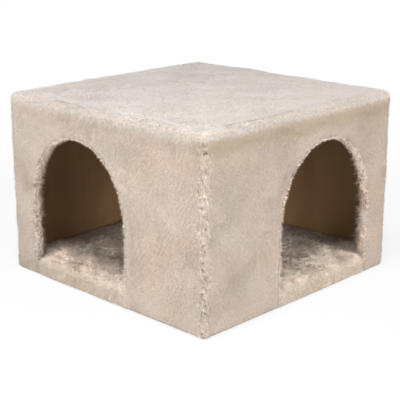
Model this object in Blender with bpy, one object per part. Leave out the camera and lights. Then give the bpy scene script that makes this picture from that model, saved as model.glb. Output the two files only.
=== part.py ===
"""A plush cat cave: a low square box of fibreboard, covered in plush, with an arched doorway in two sides.

The box stands on the ground with its centre at the origin, in metres, +Z up. The front looks along -Y
and the right side along +X. Both doorways lie away from the corner that these two sides share.
"""

from dataclasses import dataclass
from math import cos, pi, radians, sin, sqrt

import bmesh
import bpy
from mathutils import Matrix, Vector

# Outside of the plush
PLAN_WIDTH = 0.440
PLAN_DEPTH = 0.440
HEIGHT = 0.300
EDGE_RADIUS = 0.011

# Cloth, foam and boards
PLUSH = 0.0045
PRESSED_PLUSH = 0.0022
WALL_BOARD = 0.009
TOP_BOARD = 0.012
BASE_BOARD = 0.015
PAD = 0.0104
SILL_RADIUS = 0.009
SEAT = 0.0003

# Doorways, measured between the faces of their edging
DOOR_WIDTH = 0.210
DOOR_FROM_TOP = 0.057
ARCH_RISE = 0.120
DOOR_FROM_CORNER = 0.062
EDGING = 0.004
EDGING_FLANGE_WIDTH = 0.018
EDGING_FLANGE = 0.003

# Cloth turned under the base
HEM_WIDTH = 0.030

# Nails
NAIL_LENGTH = 0.030
NAIL_RADIUS = 0.0008
NAIL_HEAD_RADIUS = 0.0019
NAIL_HEAD = 0.0008
NAIL_SUNK = 0.0003
NAIL_FROM_END = 0.065

# Staples
STAPLE_CROWN = 0.010
STAPLE_LEG = 0.006
STAPLE_WIRE = 0.0007
STAPLE_WIRE_WIDTH = 0.0010
STAPLE_SUNK = 0.0003

# How finely round shapes are cut
BEVEL_STEPS = 4
ARCH_STEPS = 22
NAIL_SIDES = 8
PAST = 0.004
NEAR = 1e-6

# Levels, from the ground up
BASE_UNDER = PRESSED_PLUSH + SEAT
BASE_OVER = BASE_UNDER + BASE_BOARD
WALL_FOOT = BASE_OVER + SEAT
PAD_OVER = WALL_FOOT + PAD
FLOOR_UNDER = PAD_OVER + SEAT
FLOOR_LEVEL = FLOOR_UNDER + PLUSH
TOP_OVER = HEIGHT - PLUSH - SEAT
TOP_UNDER = TOP_OVER - TOP_BOARD
WALL_HEAD = TOP_UNDER - SEAT
ARCH_SPRING = HEIGHT - DOOR_FROM_TOP - ARCH_RISE

# Half sizes in plan
HALF_X = PLAN_WIDTH / 2
HALF_Y = PLAN_DEPTH / 2
SKIN = PLUSH + SEAT
BOARD_X = HALF_X - SKIN
BOARD_Y = HALF_Y - SKIN
ROOM_X = BOARD_X - WALL_BOARD
ROOM_Y = BOARD_Y - WALL_BOARD
BOARD_RADIUS = min(EDGE_RADIUS - PLUSH, 0.9 * WALL_BOARD, 0.9 * TOP_BOARD)
FLANGE_ROOM = SEAT + EDGING_FLANGE + SEAT
DOOR_HALF = DOOR_WIDTH / 2
PAD_BEND = min(SILL_RADIUS, 0.9 * PAD)
SILL_BEND = PAD_BEND + SEAT


def edge_drop(depth):
    """How far a rounded edge of a board has fallen away, at this depth in from its side."""
    short = max(0.0, BOARD_RADIUS - depth)
    return BOARD_RADIUS - sqrt(BOARD_RADIUS**2 - short**2)


# A nail near a rounded edge is sunk until its whole head lies under the curve
EDGE_NAIL_SUNK = NAIL_SUNK + edge_drop(WALL_BOARD / 2 - NAIL_HEAD_RADIUS)


@dataclass(frozen=True)
class Doorway:
    """A side with a doorway.

    Turned about Z, its own -Y points out of the box and its own X runs along the wall. The face is the plush's
    distance from the middle of the box, and low and high are where the hole in the board starts and ends.
    """

    side: str
    turn: float
    face: float
    centre: float

    @property
    def low(self) -> float:
        """The hole's end on its side's negative half, along the wall."""
        return self.centre - DOOR_HALF - EDGING - SEAT

    @property
    def high(self) -> float:
        """The hole's end on its side's positive half, along the wall."""
        return self.centre + DOOR_HALF + EDGING + SEAT

    def place(self) -> Matrix:
        """Returns the matrix from the doorway's own frame to the box's."""
        return Matrix.Rotation(self.turn, 4, "Z") @ Matrix.Translation((self.centre, 0.0, 0.0))


FRONT_DOOR = Doorway("front", 0.0, HALF_Y, DOOR_FROM_CORNER + DOOR_HALF - HALF_X)
RIGHT_DOOR = Doorway("right", pi / 2, HALF_X, HALF_Y - DOOR_FROM_CORNER - DOOR_HALF)
DOORWAYS = (FRONT_DOOR, RIGHT_DOOR)


def clear_scene():
    """Removes whatever the scene holds."""
    for obj in list(bpy.data.objects):
        bpy.data.objects.remove(obj)


def make_material(name, colour, roughness, metallic=0.0):
    """Makes a plain material of one colour."""
    material = bpy.data.materials.new(name)
    material.use_nodes = True
    shader = material.node_tree.nodes["Principled BSDF"]
    shader.inputs["Base Color"].default_value = (*colour, 1.0)
    shader.inputs["Roughness"].default_value = roughness
    shader.inputs["Metallic"].default_value = metallic
    material.diffuse_color = (*colour, 1.0)
    return material


def add_object(name, shape, material=None, place=None):
    """Puts a bmesh into the scene as an object, faces pointing out. Without a material it is a cutter."""
    bmesh.ops.recalc_face_normals(shape, faces=shape.faces)
    mesh = bpy.data.meshes.new(name)
    shape.to_mesh(mesh)
    shape.free()
    obj = bpy.data.objects.new(name, mesh)
    bpy.context.scene.collection.objects.link(obj)
    if place is not None:
        obj.matrix_world = place
    if material is None:
        obj.hide_render = True
        obj.display_type = "WIRE"
    else:
        mesh.materials.append(material)
    return obj


def round_off(obj, angle=40.0):
    """Shades the object smooth, with its sharper edges kept sharp."""
    obj.data.shade_smooth()
    obj.data.set_sharp_from_angle(angle=radians(angle))


def box_shape(low, high):
    """A box between two corners."""
    shape = bmesh.new()
    middle = (Vector(low) + Vector(high)) / 2
    size = Vector(high) - Vector(low)
    bmesh.ops.create_cube(shape, size=1.0, matrix=Matrix.Translation(middle) @ Matrix.Diagonal((*size, 1.0)))
    return shape


def prism_shape(outline, low, high):
    """An outline in plan, extruded between two levels."""
    shape = bmesh.new()
    face = shape.faces.new([shape.verts.new((x, y, low)) for x, y in outline])
    grown = bmesh.ops.extrude_face_region(shape, geom=[face])["geom"]
    raised = [v for v in grown if isinstance(v, bmesh.types.BMVert)]
    bmesh.ops.translate(shape, verts=raised, vec=(0.0, 0.0, high - low))
    return shape


def bevel_edges(shape, chosen, radius):
    """Rounds the edges for which chosen is true."""
    edges = [e for e in shape.edges if chosen(e)]
    bmesh.ops.bevel(
        shape,
        geom=edges,
        offset=radius,
        segments=BEVEL_STEPS,
        profile=0.5,
        affect="EDGES",
        material=-1,
        clamp_overlap=True,
    )


def is_upright(edge):
    """Whether an edge runs straight up."""
    along = edge.verts[1].co - edge.verts[0].co
    return abs(along.z) > 0.999 * along.length


def at_corner(edge, half_x, half_y):
    """Whether an upright edge stands at one of the plan's outer corners."""
    spot = (edge.verts[0].co + edge.verts[1].co) / 2
    return is_upright(edge) and abs(abs(spot.x) - half_x) < NEAR and abs(abs(spot.y) - half_y) < NEAR


def cut(obj, cutter, operation="DIFFERENCE"):
    """Cuts one object by another, or joins them, with a Boolean that stays on the object."""
    modifier = obj.modifiers.new(cutter.name, "BOOLEAN")
    modifier.operation = operation
    modifier.solver = "EXACT"
    modifier.object = cutter


def arch_shape(grow, outer, inner, foot):
    """The doorway's outline, grown by a margin and extruded through the wall from outer to inner.

    The jambs run straight up from the foot, and a half ellipse joins them.
    """
    half = DOOR_HALF + grow
    rise = ARCH_RISE + grow
    angles = [pi * step / ARCH_STEPS for step in range(ARCH_STEPS + 1)]
    outline = [(half * cos(a), ARCH_SPRING + rise * sin(a)) for a in angles]
    outline = [(half, foot), *outline, (-half, foot)]
    shape = bmesh.new()
    face = shape.faces.new([shape.verts.new((x, outer, z)) for x, z in outline])
    grown = bmesh.ops.extrude_face_region(shape, geom=[face])["geom"]
    moved = [v for v in grown if isinstance(v, bmesh.types.BMVert)]
    bmesh.ops.translate(shape, verts=moved, vec=(0.0, inner - outer, 0.0))
    return shape


def make_boards(material):
    """The six boards of the box, by name. The front and back walls cover the ends of the other two."""
    boards = {}

    shape = box_shape((-BOARD_X, -BOARD_Y, BASE_UNDER), (BOARD_X, BOARD_Y, BASE_OVER))
    bevel_edges(shape, is_upright, BOARD_RADIUS)
    boards["base"] = add_object("base_board", shape, material)

    shape = box_shape((-BOARD_X, -BOARD_Y, TOP_UNDER), (BOARD_X, BOARD_Y, TOP_OVER))
    bevel_edges(shape, lambda e: max(v.co.z for v in e.verts) > TOP_UNDER + NEAR, BOARD_RADIUS)
    boards["top"] = add_object("top_board", shape, material)

    for side, way in (("front", -1.0), ("back", 1.0)):
        near, far = sorted((way * ROOM_Y, way * BOARD_Y))
        shape = box_shape((-BOARD_X, near, WALL_FOOT), (BOARD_X, far, WALL_HEAD))
        bevel_edges(shape, lambda e: at_corner(e, BOARD_X, BOARD_Y), BOARD_RADIUS)
        boards[side] = add_object(f"{side}_wall", shape, material)

    reach = ROOM_Y - SEAT
    for side, way in (("left", -1.0), ("right", 1.0)):
        near, far = sorted((way * ROOM_X, way * BOARD_X))
        shape = box_shape((near, -reach, WALL_FOOT), (far, reach, WALL_HEAD))
        boards[side] = add_object(f"{side}_wall", shape, material)

    for door in DOORWAYS:
        opening = arch_shape(EDGING + SEAT, -door.face - PAST, PAST + WALL_BOARD - door.face + SKIN, -PAST)
        cutter = add_object(f"{door.side}_board_opening", opening, place=door.place())
        cut(boards[door.side], cutter)

    for board in boards.values():
        round_off(board)
    return boards


def make_cover(material):
    """The plush over the top and the four sides, open below, with a hole for each doorway."""
    shape = box_shape((-HALF_X, -HALF_Y, 0.0), (HALF_X, HALF_Y, HEIGHT))
    bevel_edges(shape, lambda e: max(v.co.z for v in e.verts) > PAST, EDGE_RADIUS)
    cover = add_object("plush_cover", shape, material)

    inner_x, inner_y = HALF_X - PLUSH, HALF_Y - PLUSH
    shape = box_shape((-inner_x, -inner_y, -PAST), (inner_x, inner_y, HEIGHT - PLUSH))
    bevel_edges(shape, lambda e: max(v.co.z for v in e.verts) > 0.0, BOARD_RADIUS)
    cut(cover, add_object("cover_hollow", shape))

    for door in DOORWAYS:
        opening = arch_shape(EDGING + SEAT, -door.face - PAST, PAST - door.face + PLUSH, -PAST)
        cut(cover, add_object(f"{door.side}_cover_opening", opening, place=door.place()))
    round_off(cover)
    return cover


def make_hems(material):
    """The cover's edge, turned under the base: one length round the back, and one at the front corner."""
    in_x, in_y = BOARD_X - HEM_WIDTH, BOARD_Y - HEM_WIDTH
    outlines = {
        "rear": [
            (FRONT_DOOR.low, -BOARD_Y),
            (-BOARD_X, -BOARD_Y),
            (-BOARD_X, BOARD_Y),
            (BOARD_X, BOARD_Y),
            (BOARD_X, RIGHT_DOOR.high),
            (in_x, RIGHT_DOOR.high),
            (in_x, in_y),
            (-in_x, in_y),
            (-in_x, -in_y),
            (FRONT_DOOR.low, -in_y),
        ],
        "front": [
            (FRONT_DOOR.high, -BOARD_Y),
            (FRONT_DOOR.high, -in_y),
            (in_x, -in_y),
            (in_x, RIGHT_DOOR.low),
            (BOARD_X, RIGHT_DOOR.low),
            (BOARD_X, -BOARD_Y),
        ],
    }
    hems = {}
    for part, outline in outlines.items():
        shape = prism_shape(outline, 0.0, PRESSED_PLUSH)
        bevel_edges(shape, lambda e: at_corner(e, BOARD_X, BOARD_Y), BOARD_RADIUS)
        hems[part] = add_object(f"cover_hem_{part}", shape, material)
    return hems


def make_edging(door, material):
    """The plush strip round a doorway: through the wall, and turned flat onto its inner face."""
    inner_face = SKIN + WALL_BOARD - door.face
    flange_under = inner_face + SEAT
    flange_over = flange_under + EDGING_FLANGE
    place = door.place()

    strip = arch_shape(EDGING, -door.face, flange_over, PRESSED_PLUSH)
    edging = add_object(f"{door.side}_door_edging", strip, material, place)
    flange = arch_shape(EDGING + EDGING_FLANGE_WIDTH, flange_under, flange_over, PRESSED_PLUSH)
    cut(edging, add_object(f"{door.side}_edging_flange", flange, place=place), "UNION")
    clear = arch_shape(0.0, -door.face - PAST, flange_over + PAST, -PAST)
    cut(edging, add_object(f"{door.side}_edging_opening", clear, place=place))

    wide = DOOR_HALF + EDGING + EDGING_FLANGE_WIDTH + PAST
    base = box_shape((-wide, PLUSH - door.face, -PAST), (wide, flange_over + PAST, WALL_FOOT))
    cut(edging, add_object(f"{door.side}_edging_foot", base, place=place))
    round_off(edging)
    return edging


def floor_outline(sill_front):
    """The outline of the floor, with a tongue through each doorway as far as this depth behind its face."""
    left, back = -ROOM_X + SEAT, ROOM_Y - SEAT
    front, right = -ROOM_Y + FLANGE_ROOM, ROOM_X - FLANGE_ROOM
    half = DOOR_HALF - SEAT
    sill_y = -HALF_Y + sill_front
    sill_x = HALF_X - sill_front
    across, along = FRONT_DOOR.centre, RIGHT_DOOR.centre
    return [
        (left, front),
        (across - half, front),
        (across - half, sill_y),
        (across + half, sill_y),
        (across + half, front),
        (right, front),
        (right, along - half),
        (sill_x, along - half),
        (sill_x, along + half),
        (right, along + half),
        (right, back),
        (left, back),
    ]


def on_sill(face_or_edge, sill_front):
    """Whether a face or edge lies wholly at the end of one of the floor's two tongues."""
    at_front = all(abs(v.co.y + HALF_Y - sill_front) < NEAR for v in face_or_edge.verts)
    at_right = all(abs(v.co.x - HALF_X + sill_front) < NEAR for v in face_or_edge.verts)
    return at_front or at_right


def make_pad(material):
    """The foam sheet on the base, with its edge rounded along each sill."""
    shape = prism_shape(floor_outline(SKIN), WALL_FOOT, PAD_OVER)
    top_edge = PAD_OVER - NEAR
    bevel_edges(shape, lambda e: on_sill(e, SKIN) and all(v.co.z > top_edge for v in e.verts), PAD_BEND)
    pad = add_object("floor_pad", shape, material)
    round_off(pad)
    return pad


def sill_stations():
    """The section of the plush where it turns over a sill, down to the ground and back under the base.

    Each station is a point of the plush's outer face and the point across from it on its inner face. A point is
    its depth behind the doorway's face and its level.
    """
    stations = []
    turns = [pi / 2 * step / BEVEL_STEPS for step in range(BEVEL_STEPS + 1)]
    for turn in turns[1:]:
        radii = (SILL_BEND + PLUSH, SILL_BEND)
        depth, level = PLUSH + SILL_BEND, FLOOR_UNDER - SILL_BEND
        stations.append([(depth - radius * sin(turn), level + radius * cos(turn)) for radius in radii])
    for turn in turns:
        reaches = ((SKIN, BASE_UNDER), (SEAT, SEAT))
        stations.append([(SKIN - wide * cos(turn), BASE_UNDER - high * sin(turn)) for wide, high in reaches])
    back = SKIN + HEM_WIDTH
    stations.append([(back, 0.0), (back, PRESSED_PLUSH)])
    return stations


def carry_over_sill(shape, end, door):
    """Extrudes the end of a tongue from station to station."""
    place = door.place()
    across = [(place.inverted() @ v.co).x for v in end.verts]
    is_outer = [v.co.z > FLOOR_LEVEL - PLUSH / 2 for v in end.verts]
    for outer, inner in sill_stations():
        end = bmesh.ops.extrude_discrete_faces(shape, faces=[end])["faces"][0]
        for vert, x, over in zip(end.verts, across, is_outer):
            depth, level = outer if over else inner
            vert.co = place @ Vector((x, depth - door.face, level))


def make_floor_plush(material):
    """The plush on the foam, carried over each sill and under the base."""
    sill_front = PLUSH + SILL_BEND
    shape = prism_shape(floor_outline(sill_front), FLOOR_UNDER, FLOOR_LEVEL)
    for door in DOORWAYS:
        out = door.place().to_3x3() @ Vector((0.0, -1.0, 0.0))
        ends = [f for f in shape.faces if on_sill(f, sill_front) and abs(f.normal.dot(out)) > 0.9]
        carry_over_sill(shape, ends[0], door)
    plush = add_object("floor_plush", shape, material)
    round_off(plush)
    return plush


def nail_shape(grow=0.0, lead=0.0):
    """A nail along -Z from its head. A hole for it is grown by a margin, and led out past the head."""
    profile = [
        (NAIL_HEAD_RADIUS + grow, lead),
        (NAIL_HEAD_RADIUS + grow, -NAIL_HEAD - grow),
        (NAIL_RADIUS + grow, -NAIL_HEAD - grow),
        (NAIL_RADIUS + grow, -NAIL_LENGTH - grow),
    ]
    shape = bmesh.new()
    verts = [shape.verts.new((radius, 0.0, z)) for radius, z in profile]
    edges = [shape.edges.new(pair) for pair in zip(verts, verts[1:])]
    bmesh.ops.spin(
        shape,
        geom=verts + edges,
        cent=(0, 0, 0),
        axis=(0, 0, 1),
        angle=2 * pi,
        steps=NAIL_SIDES,
        use_merge=True,
    )
    bmesh.ops.holes_fill(shape, edges=[e for e in shape.edges if e.is_boundary], sides=NAIL_SIDES)
    return shape


def staple_shape(grow=0.0, lead=0.0):
    """A staple with its crown up at Z 0 and its legs along -Z, grown by a margin for its hole."""
    half = STAPLE_CROWN / 2 + grow
    inner = STAPLE_CROWN / 2 - STAPLE_WIRE - grow
    under = -STAPLE_WIRE - grow
    tip = -STAPLE_LEG - grow
    width = STAPLE_WIRE_WIDTH / 2 + grow
    outline = [
        (-half, lead),
        (-half, tip),
        (-inner, tip),
        (-inner, under),
        (inner, under),
        (inner, tip),
        (half, tip),
        (half, lead),
    ]
    shape = bmesh.new()
    face = shape.faces.new([shape.verts.new((x, -width, z)) for x, z in outline])
    grown = bmesh.ops.extrude_face_region(shape, geom=[face])["geom"]
    moved = [v for v in grown if isinstance(v, bmesh.types.BMVert)]
    bmesh.ops.translate(shape, verts=moved, vec=(0.0, 2 * width, 0.0))
    return shape


def joined(name, shape_maker, places):
    """One cutter that holds a copy of a shape at each place."""
    whole = bmesh.new()
    for place in places:
        single = shape_maker()
        bmesh.ops.transform(single, matrix=place, verts=single.verts)
        bmesh.ops.recalc_face_normals(single, faces=single.faces)
        carrier = bpy.data.meshes.new(name)
        single.to_mesh(carrier)
        single.free()
        whole.from_mesh(carrier)
        bpy.data.meshes.remove(carrier)
    return add_object(name, whole)


def facing(spot, outwards, across):
    """A place at spot whose Z points outwards and whose X runs across."""
    z_axis = Vector(outwards).normalized()
    x_axis = Vector(across).normalized()
    turn = Matrix((x_axis, z_axis.cross(x_axis), z_axis)).transposed()
    return Matrix.Translation(spot) @ turn.to_4x4()


def wall_spots():
    """For each wall, its name and two spots for nails through its top edge and two through its foot.

    The nails stand in the middle of the wall's thickness, and beside a doorway in what is left of its foot.
    """
    mid_x, mid_y = BOARD_X - WALL_BOARD / 2, BOARD_Y - WALL_BOARD / 2
    end_x, end_y = BOARD_X - NAIL_FROM_END, ROOM_Y - NAIL_FROM_END
    front_low, front_high = (FRONT_DOOR.low - BOARD_X) / 2, (FRONT_DOOR.high + BOARD_X) / 2
    right_low, right_high = (RIGHT_DOOR.low - ROOM_Y) / 2, (RIGHT_DOOR.high + ROOM_Y) / 2
    return [
        ("front", [(-end_x, -mid_y), (end_x, -mid_y)], [(front_low, -mid_y), (front_high, -mid_y)]),
        ("back", [(-end_x, mid_y), (end_x, mid_y)], [(-end_x, mid_y), (end_x, mid_y)]),
        ("left", [(-mid_x, -end_y), (-mid_x, end_y)], [(-mid_x, -end_y), (-mid_x, end_y)]),
        ("right", [(mid_x, -end_y), (mid_x, end_y)], [(mid_x, right_low), (mid_x, right_high)]),
    ]


def drive_nails(boards, material):
    """Drives nails through the top, the base and the front and back walls into the edges behind them."""
    places = {}
    for side, over, below in wall_spots():
        for number, (x, y) in enumerate(over, 1):
            spot = (x, y, TOP_OVER - EDGE_NAIL_SUNK)
            places[f"top_nail_{side}_{number}"] = (facing(spot, (0, 0, 1), (1, 0, 0)), "top", side)
        for number, (x, y) in enumerate(below, 1):
            spot = (x, y, BASE_UNDER + NAIL_SUNK)
            places[f"base_nail_{side}_{number}"] = (facing(spot, (0, 0, -1), (1, 0, 0)), "base", side)

    mid_x = BOARD_X - WALL_BOARD / 2
    levels = (WALL_FOOT + NAIL_FROM_END, WALL_HEAD - NAIL_FROM_END)
    for wall, way_y in (("front", -1), ("back", 1)):
        for side, way_x in (("left", -1), ("right", 1)):
            for number, level in enumerate(levels, 1):
                spot = (way_x * mid_x, way_y * (BOARD_Y - EDGE_NAIL_SUNK), level)
                name = f"corner_nail_{wall}_{side}_{number}"
                places[name] = (facing(spot, (0, way_y, 0), (1, 0, 0)), wall, side)

    mesh = None
    for name, (place, _, _) in places.items():
        nail = add_object(name, nail_shape(), material, place)
        if mesh is None:
            mesh = nail.data
            round_off(nail)
        nail.data = mesh

    for key, board in boards.items():
        through = [place for place, outer, inner in places.values() if key in (outer, inner)]
        bores = joined(f"{board.name}_nail_holes", lambda: nail_shape(SEAT, PAST), through)
        cut(board, bores)


def hem_staple_places():
    """For each turned edge under the base, the places of its staples, crowns down."""
    line_x, line_y = BOARD_X - HEM_WIDTH / 2, BOARD_Y - HEM_WIDTH / 2
    front_low, front_high = (FRONT_DOOR.low - BOARD_X) / 2, (FRONT_DOOR.high + BOARD_X) / 2
    right_low, right_high = (RIGHT_DOOR.low - BOARD_Y) / 2, (RIGHT_DOOR.high + BOARD_Y) / 2
    between_x, between_y = BOARD_X / 2, BOARD_Y / 2
    sill = DOOR_WIDTH / 4
    along_x, along_y = (1, 0, 0), (0, 1, 0)
    spots = {
        "rear": [
            (front_low, -line_y, along_x),
            (-line_x, -between_y, along_y),
            (-line_x, between_y, along_y),
            (-between_x, line_y, along_x),
            (between_x, line_y, along_x),
            (line_x, right_high, along_y),
        ],
        "front": [(front_high, -line_y, along_x), (line_x, right_low, along_y)],
        "sill": [
            (FRONT_DOOR.centre - sill, -line_y, along_x),
            (FRONT_DOOR.centre + sill, -line_y, along_x),
            (line_x, RIGHT_DOOR.centre - sill, along_y),
            (line_x, RIGHT_DOOR.centre + sill, along_y),
        ],
    }
    return {
        part: [facing((x, y, STAPLE_SUNK), (0, 0, -1), along) for x, y, along in found]
        for part, found in spots.items()
    }


def edging_staple_places(door):
    """The places of the staples on an edging's flange: one on each jamb and three over the arch."""
    inner_face = SKIN + WALL_BOARD - door.face
    depth = inner_face + SEAT + EDGING_FLANGE - STAPLE_SUNK
    middle = EDGING + EDGING_FLANGE_WIDTH / 2
    half, rise = DOOR_HALF + middle, ARCH_RISE + middle
    jamb_level = (WALL_FOOT + ARCH_SPRING) / 2
    places = []
    for way in (-1, 1):
        places.append(facing((way * half, depth, jamb_level), (0, 1, 0), (0, 0, 1)))
    for angle in (radians(40), pi / 2, radians(140)):
        spot = (half * cos(angle), depth, ARCH_SPRING + rise * sin(angle))
        places.append(facing(spot, (0, 1, 0), (-half * sin(angle), 0, rise * cos(angle))))
    return [door.place() @ place for place in places]


def drive_staples(boards, hems, floor_plush, edgings, material):
    """Staples each turned edge of plush to the board behind it."""
    under = hem_staple_places()
    jobs = [
        ("hem_staple_rear", under["rear"], hems["rear"], boards["base"]),
        ("hem_staple_front", under["front"], hems["front"], boards["base"]),
        ("sill_staple", under["sill"], floor_plush, boards["base"]),
    ]
    for door in DOORWAYS:
        places = edging_staple_places(door)
        jobs.append((f"door_staple_{door.side}", places, edgings[door.side], boards[door.side]))

    mesh = None
    for prefix, places, cloth, board in jobs:
        for number, place in enumerate(places, 1):
            staple = add_object(f"{prefix}_{number}", staple_shape(), material, place)
            if mesh is None:
                mesh = staple.data
            staple.data = mesh
        slots = joined(f"{prefix}_slots", lambda: staple_shape(SEAT, PAST), places)
        cut(cloth, slots)
        cut(board, slots)


def main():
    """Builds the box, its cloth and its fixings."""
    clear_scene()
    plush = make_material("plush", (0.68, 0.60, 0.50), 0.95)
    board = make_material("fibreboard", (0.32, 0.22, 0.12), 0.8)
    foam = make_material("foam", (0.85, 0.80, 0.62), 0.9)
    steel = make_material("galvanised_steel", (0.60, 0.60, 0.58), 0.35, 1.0)

    boards = make_boards(board)
    make_cover(plush)
    hems = make_hems(plush)
    make_pad(foam)
    floor_plush = make_floor_plush(plush)
    edgings = {door.side: make_edging(door, plush) for door in DOORWAYS}
    drive_nails(boards, steel)
    drive_staples(boards, hems, floor_plush, edgings, steel)


main()
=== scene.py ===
"""Dresses the plush cat cave: its cloth, its pile, its bare boards and its fixings, in a studio.

Lengths are in metres. The box stands on the ground with its centre at the origin. Its front looks
along -Y and its right side along +X, and each of these two sides holds an arched doorway.
"""

import logging
from dataclasses import dataclass
from enum import Enum, IntEnum
from functools import partial
from math import cos, pi, radians, sin
from typing import Callable, Sequence

import bmesh
import bpy
import numpy as np
from mathutils import Matrix, Vector


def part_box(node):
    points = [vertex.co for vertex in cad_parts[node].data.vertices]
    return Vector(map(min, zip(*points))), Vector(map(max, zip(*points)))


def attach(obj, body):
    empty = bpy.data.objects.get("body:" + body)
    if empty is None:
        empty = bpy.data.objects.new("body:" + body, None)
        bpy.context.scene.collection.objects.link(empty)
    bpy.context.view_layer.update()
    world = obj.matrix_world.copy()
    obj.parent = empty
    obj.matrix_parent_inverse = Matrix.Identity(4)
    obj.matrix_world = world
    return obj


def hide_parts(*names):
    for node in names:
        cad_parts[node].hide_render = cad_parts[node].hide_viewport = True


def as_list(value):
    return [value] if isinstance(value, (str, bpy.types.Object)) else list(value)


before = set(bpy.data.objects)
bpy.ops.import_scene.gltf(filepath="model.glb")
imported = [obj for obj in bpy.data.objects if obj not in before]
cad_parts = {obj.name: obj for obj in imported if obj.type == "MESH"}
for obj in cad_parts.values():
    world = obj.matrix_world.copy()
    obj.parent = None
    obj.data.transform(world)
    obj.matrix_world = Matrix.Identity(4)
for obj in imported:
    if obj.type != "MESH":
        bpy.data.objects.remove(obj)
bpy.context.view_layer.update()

logging.basicConfig(level=logging.INFO, format="%(message)s")
log = logging.getLogger("cat_cave")

Colour = tuple[float, float, float]
Field = Callable[[np.ndarray], np.ndarray]
FacedField = Callable[[np.ndarray, np.ndarray], np.ndarray]

PILE_MAP = "OFBake"
STRAND_TONE = "strand_tone"
PAINTED_SHEEN = "paleness"
MILLIMETRE = 0.001
GROUND = 0.0002
ROOT_DEPTH = 0.0003
MOST_STRANDS = 49000
MOST_LEAN = radians(82)
STRAND_PATCH = 0.0016
CLOSE = 1e-6
LEVEL = np.array([[1.0, 1.0, 0.0]])
UPRIGHT = np.array([[1.0, 1.0, 0.6]])
DOWN = np.array([[0.0, 0.0, -1.0]])


class Seed(IntEnum):
    """The seeds of the soft random fields and of the strands' draws. Each run gives the same."""

    ROLL = 31
    PUFF = 32
    SMALL_PUFF = 33
    ROOF_SPECKS = 34
    SEAM = 35
    WORN_RIM = 36
    RIM_PARTINGS = 37
    PEBBLES = 38
    SIDE_SPECKS = 39
    SEAM_ROWS = 40
    STRIP = 41
    STRIP_PARTINGS = 42
    STRIP_TUFTS = 43
    FLOOR_WAVES = 51
    FLOOR_LUMPS = 52
    FLOOR_SWIRLS = 53
    FLOOR_SPOTS = 54
    FLOOR_CLOUDS = 55
    FLOOR_LIGHT = 56
    SIDE_PILE = 100
    ROOF_PILE = 200
    HEM_PILE = 220
    FRONT_STRIP_PILE = 300
    RIGHT_STRIP_PILE = 320
    FLOOR_PILE = 400
    SILL_HEM_PILE = 440


class Slot(Enum):
    """The record's material slots, which the new pieces are passed with."""

    PLUSH = "plush"
    FOAM = "foam"


class Held(Enum):
    """The ways in which a cloth of the cave is held."""

    STRETCHED = "stretched"
    LAID = "laid"


class Side(Enum):
    """The box's sides. The value is the turn about Z that brings a side to the front."""

    FRONT = 0.0
    RIGHT = pi / 2
    BACK = pi
    LEFT = -pi / 2

    @property
    def place(self) -> Matrix:
        """The turn from the side's own frame, whose -Y points out of the box, to the box's."""
        return Matrix.Rotation(self.value, 4, "Z")

    @property
    def out(self) -> np.ndarray:
        """The way that the side looks."""
        return np.array(self.place.to_3x3() @ Vector((0.0, -1.0, 0.0)))

    @property
    def along(self) -> np.ndarray:
        """The way that runs to the right for someone who looks at the side."""
        return np.array(self.place.to_3x3() @ Vector((1.0, 0.0, 0.0)))

    @property
    def word(self) -> str:
        """The side's name, as pieces and nodes have it."""
        return self.name.lower()


def srgb(red: int, green: int, blue: int) -> Colour:
    """Turns a colour as a screen shows it into the linear one that a shader takes.

    Args:
        red: The red part, from 0 to 255.
        green: The green part.
        blue: The blue part.

    Returns:
        The linear colour, each part from 0 to 1.
    """
    parts = (part / 255 for part in (red, green, blue))
    return tuple(
        part / 12.92 if part <= 0.04045 else ((part + 0.055) / 1.055) ** 2.4 for part in parts
    )


class Value:
    """A number or a colour inside a tree of nodes. Python's operators add its Math nodes."""

    def __init__(self, tree: "Tree", socket: bpy.types.NodeSocket) -> None:
        """Wraps a socket of a tree."""
        self.tree = tree
        self.socket = socket

    def _math(self, operation: str, first: "Value | float", second: "Value | float") -> "Value":
        """Adds one Math node on two numbers."""
        return self.tree.add("ShaderNodeMath", {"operation": operation}, {0: first, 1: second})

    def __add__(self, other: "Value | float") -> "Value":
        """Adds."""
        return self._math("ADD", self, other)

    __radd__ = __add__

    def __mul__(self, other: "Value | float") -> "Value":
        """Multiplies."""
        return self._math("MULTIPLY", self, other)

    __rmul__ = __mul__

    def __sub__(self, other: "Value | float") -> "Value":
        """Subtracts a value from this one."""
        return self._math("SUBTRACT", self, other)

    def __rsub__(self, other: float) -> "Value":
        """Subtracts this value from a number."""
        return self._math("SUBTRACT", other, self)

    def __or__(self, other: "Value") -> "Value":
        """Takes the larger of two values, so that of two masks either one is enough."""
        return self._math("MAXIMUM", self, other)


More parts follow.
